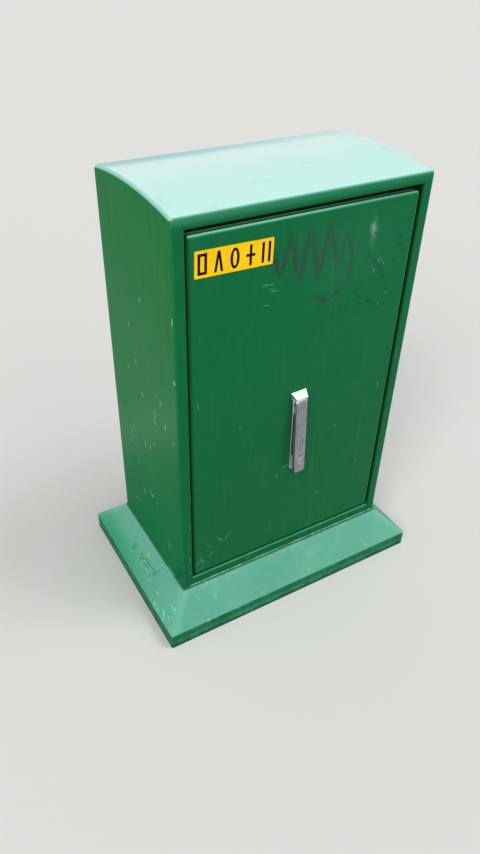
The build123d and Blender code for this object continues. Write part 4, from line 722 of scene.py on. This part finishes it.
dress(green_shell(), "cabinet_shell")
dress(green_door(), "door_panel")
dress(green_plinth(), "plinth")
dress(sky_sheen_casting("dish_casting", front=srgb(176, 184, 180)), "handle_dish")
dress(sky_sheen_casting("lever_casting"), "handle_lever")
dress(
    grey_casting(), "lock_case", "upper_hinge_frame_leaf", "lower_hinge_frame_leaf",
    "upper_hinge_door_leaf", "lower_hinge_door_leaf",
)
dress(
    hard_finish(
        "cover_casting", srgb(146, 148, 154), srgb(244, 246, 246), metallic=0.7, rough=0.3,
        grain=170, edge_share=0.95, dirt=0.1,
    ),
    "keyhole_cover",
)
dress(
    hard_finish(
        "zinc_steel", srgb(178, 180, 178), srgb(220, 222, 222), metallic=1.0, rough=0.34, grain=120
    ),
    "body_bolts", "body_nuts", "gland_plate_screws", "upper_hinge_pin", "lower_hinge_pin",
    "hinge_foot_screws", "equipment_plate_screws", "rail_screws", "earth_bar_screws",
    "hinge_leaf_screws", "dish_screws", "lock_case_screws", "lock_cover", "lock_cover_screws",
    "rod_guide_screws", "handle_spindle", "lock_pinion", "lever_pin", "upper_rod", "lower_rod",
    "upper_rail", "lower_rail",
)
dress(
    hard_finish(
        "galvanised_sheet", srgb(164, 168, 170), srgb(200, 203, 205), metallic=0.8, rough=0.42,
        rough_spread=0.3, grain=28, dirt=0.15,
    ),
    "equipment_plate", "gland_plate",
)
dress(
    hard_finish(
        "cylinder_nickel", srgb(168, 168, 172), srgb(250, 250, 250), metallic=0.5, rough=0.3,
        grain=260, edge_share=0.95, dirt=0.45, dirt_colour=srgb(96, 98, 100),
    ),
    "lock_cylinder",
)
dress(
    hard_finish(
        "plug_nickel", srgb(130, 130, 136), srgb(240, 240, 240), metallic=0.6, rough=0.35,
        grain=260, edge_share=0.95, dirt=0.3, dirt_colour=srgb(70, 72, 74),
    ),
    "key_plug",
)
dress(
    hard_finish("brass", srgb(186, 150, 84), srgb(222, 196, 130), metallic=1.0, rough=0.3),
    "earth_bar",
)
dress(
    hard_finish(
        "black_plastic", srgb(30, 31, 32), srgb(70, 72, 72), rough=0.5, dirt=0.1,
        dirt_colour=srgb(90, 86, 76),
    ),
    "cable_glands", "gland_nuts", "upper_rod_guide", "lower_rod_guide",
)
dress(
    hard_finish("beige_plastic", srgb(176, 172, 154), srgb(206, 203, 190), rough=0.45, dirt=0.1),
    "upper_terminal_strip", "lower_terminal_strip",
)
dress(
    hard_finish("red_plastic", srgb(150, 44, 34), srgb(190, 90, 76), rough=0.35),
    "earth_bar_insulators",
)
dress(
    hard_finish(
        "rubber_seal", srgb(26, 27, 27), srgb(60, 62, 60), rough=0.7, dirt=0.35,
        dirt_colour=srgb(70, 66, 52),
    ),
    "base_seal", "door_gasket",
)
dress(yellow_plate(), "number_plate")

# Five plain shapes printed on the number plate, in its own slightly tilted frame
PLATE_MIDDLE = (plate_low + plate_high) / 2
PLATE_LEAN = math.radians(1.1)
PLATE_FACE = plate_low.y
MARK_PITCH = 0.034
MARK_HEIGHT = 0.041
MARK_WIDTH = 0.0195
MARK_STROKE = 0.0056
MARK_THICKNESS = 0.00012
RING_POINTS = 36


def mark_outlines():
    """Five hollow or barred shapes about their own middles: each a list of (outer, inner) loops."""
    x, z, s = MARK_WIDTH / 2, MARK_HEIGHT / 2, MARK_STROKE

    def slab(x0, z0, x1, z1):
        return [(x0, z0), (x1, z0), (x1, z1), (x0, z1)]

    def round_loop(half_width, half_height):
        turns = [index * math.tau / RING_POINTS for index in range(RING_POINTS)]
        return [(math.cos(turn) * half_width, math.sin(turn) * half_height) for turn in turns]

    square = (slab(-x, -z, x, z), slab(s - x, s - z, x - s, z - s))
    peak = [(-x, -z), (s - x, -z), (0, z - 2.4 * s), (x - s, -z), (x, -z), (0.5 * s, z), (-0.5 * s, z)]
    ring = (round_loop(x, z), round_loop(x - s, z - s))
    cross = [
        (slab(-x, -s / 2, x, s / 2), None), (slab(-s / 2, s / 2, s / 2, z), None),
        (slab(-s / 2, -z, s / 2, -s / 2), None),
    ]
    bars = [(slab(-x, -z, s - x, z), None), (slab(x - s, -z, x, z), None)]
    return [[square], [(peak, None)], [ring], cross, bars]


def make_plate_marks():
    """Thin film shapes on the plate's face, leaning with it."""
    points, faces = [], []

    def corner(across, up, y):
        x = PLATE_MIDDLE.x + across * math.cos(PLATE_LEAN) + up * math.sin(PLATE_LEAN)
        z = PLATE_MIDDLE.z - across * math.sin(PLATE_LEAN) + up * math.cos(PLATE_LEAN)
        points.append((x, y, z))
        return len(points) - 1

    for index, loops in enumerate(mark_outlines()):
        shift = (index - 2) * MARK_PITCH
        for loop in loops:
            rims = []
            for outline in loop:
                if outline:
                    for y in (PLATE_FACE - MARK_THICKNESS, PLATE_FACE):
                        rims.append([corner(across + shift, up, y) for across, up in outline])
            count = len(rims[0])
            turns = [(one, (one + 1) % count) for one in range(count)]
            outer_front, outer_back = rims[:2]
            faces += [[outer_front[b], outer_front[a], outer_back[a], outer_back[b]] for a, b in turns]
            if len(rims) == 2:
                faces.append(outer_front)
                faces.append(outer_back[::-1])
                continue
            inner_front, inner_back = rims[2:]
            faces += [[inner_front[a], inner_front[b], inner_back[b], inner_back[a]] for a, b in turns]
            faces += [[outer_front[a], outer_front[b], inner_front[b], inner_front[a]] for a, b in turns]
            faces += [[outer_back[b], outer_back[a], inner_back[a], inner_back[b]] for a, b in turns]
    mesh = bpy.data.meshes.new("plate_marks")
    mesh.from_pydata(points, [], faces)
    marks = bpy.data.objects.new("plate_marks", mesh)
    scene.collection.objects.link(marks)
    mesh.materials.append(
        hard_finish(
            "black_film", srgb(30, 14, 4), srgb(80, 56, 20), rough=0.6, grain=50, dirt=0.1,
            dirt_colour=srgb(90, 66, 20), shine=0.04,
        )
    )
    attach(marks, "door")


make_plate_marks()


FLOOR_HALF = 30.0


def make_floor():
    """Wide pale ground."""
    corners = [(x * FLOOR_HALF, y * FLOOR_HALF, 0) for x, y in ((-1, -1), (1, -1), (1, 1), (-1, 1))]
    mesh = bpy.data.meshes.new("floor")
    mesh.from_pydata(corners, [], [(0, 1, 2, 3)])
    floor = bpy.data.objects.new("floor", mesh)
    scene.collection.objects.link(floor)
    f = Finish("floor")
    f.set(Base_Color=srgb(226, 226, 223), Roughness=0.9, Specular_IOR_Level=0.1)
    mesh.materials.append(f.material)


def sun(name, towards, strength, angle):
    """Soft sun lamp that shines from a direction."""
    data = bpy.data.lights.new(name, "SUN")
    data.energy = strength
    data.angle = math.radians(angle)
    lamp = bpy.data.objects.new(name, data)
    lamp.rotation_euler = Vector(towards).to_track_quat("Z", "Y").to_euler()
    scene.collection.objects.link(lamp)


make_floor()
sun("key", (-0.62, -0.55, 0.70), 1.60, 35)
sun("fill", (0.35, -0.80, 0.45), 0.45, 50)
sun("overhead", (0.44, -0.27, 0.86), 0.70, 24)

# Even sky that lights the cabinet, and a brighter backdrop for camera, glossy and transmission rays
SKY_STRENGTH = 0.40
BACKDROP_STRENGTH = 0.80
world = bpy.data.worlds.new("studio")
world.use_nodes = True
scene.world = world
tree = world.node_tree
back = tree.nodes["Background"]
path = tree.nodes.new("ShaderNodeLightPath")
seen = path.outputs["Is Camera Ray"]
for ray in ("Is Glossy Ray", "Is Transmission Ray"):
    added = tree.nodes.new("ShaderNodeMath")
    added.operation = "MAXIMUM"
    tree.links.new(seen, added.inputs[0])
    tree.links.new(path.outputs[ray], added.inputs[1])
    seen = added.outputs[0]
strength = tree.nodes.new("ShaderNodeMapRange")
strength.inputs[3].default_value = SKY_STRENGTH
strength.inputs[4].default_value = BACKDROP_STRENGTH
tree.links.new(seen, strength.inputs[0])
tree.links.new(strength.outputs[0], back.inputs["Strength"])
back.inputs["Color"].default_value = (1.0, 1.0, 1.0, 1)

# Camera at the photograph's viewing angle, as a scratch program fitted it to the photo's edges
CAMERA_PLACE = (-0.7887, -1.2294, 1.4938)
CAMERA_YAW, CAMERA_PITCH, CAMERA_ROLL = (math.radians(angle) for angle in (31.30, -37.12, 1.64))
CAMERA_LENS = 29.774
camera_data = bpy.data.cameras.new("camera")
camera_data.lens = CAMERA_LENS
camera_data.sensor_width = 36
camera = bpy.data.objects.new("camera", camera_data)
forward = Vector((
    math.sin(CAMERA_YAW) * math.cos(CAMERA_PITCH),
    math.cos(CAMERA_YAW) * math.cos(CAMERA_PITCH),
    math.sin(CAMERA_PITCH),
))
level = Vector((math.cos(CAMERA_YAW), -math.sin(CAMERA_YAW), 0))
upward = level.cross(forward)
right = math.cos(CAMERA_ROLL) * level + math.sin(CAMERA_ROLL) * upward
up = math.cos(CAMERA_ROLL) * upward - math.sin(CAMERA_ROLL) * level
turned = Matrix((right, up, -forward)).transposed().to_4x4()
camera.matrix_world = Matrix.Translation(CAMERA_PLACE) @ turned
scene.collection.objects.link(camera)
scene.camera = camera
scene.view_settings.view_transform = "Standard"
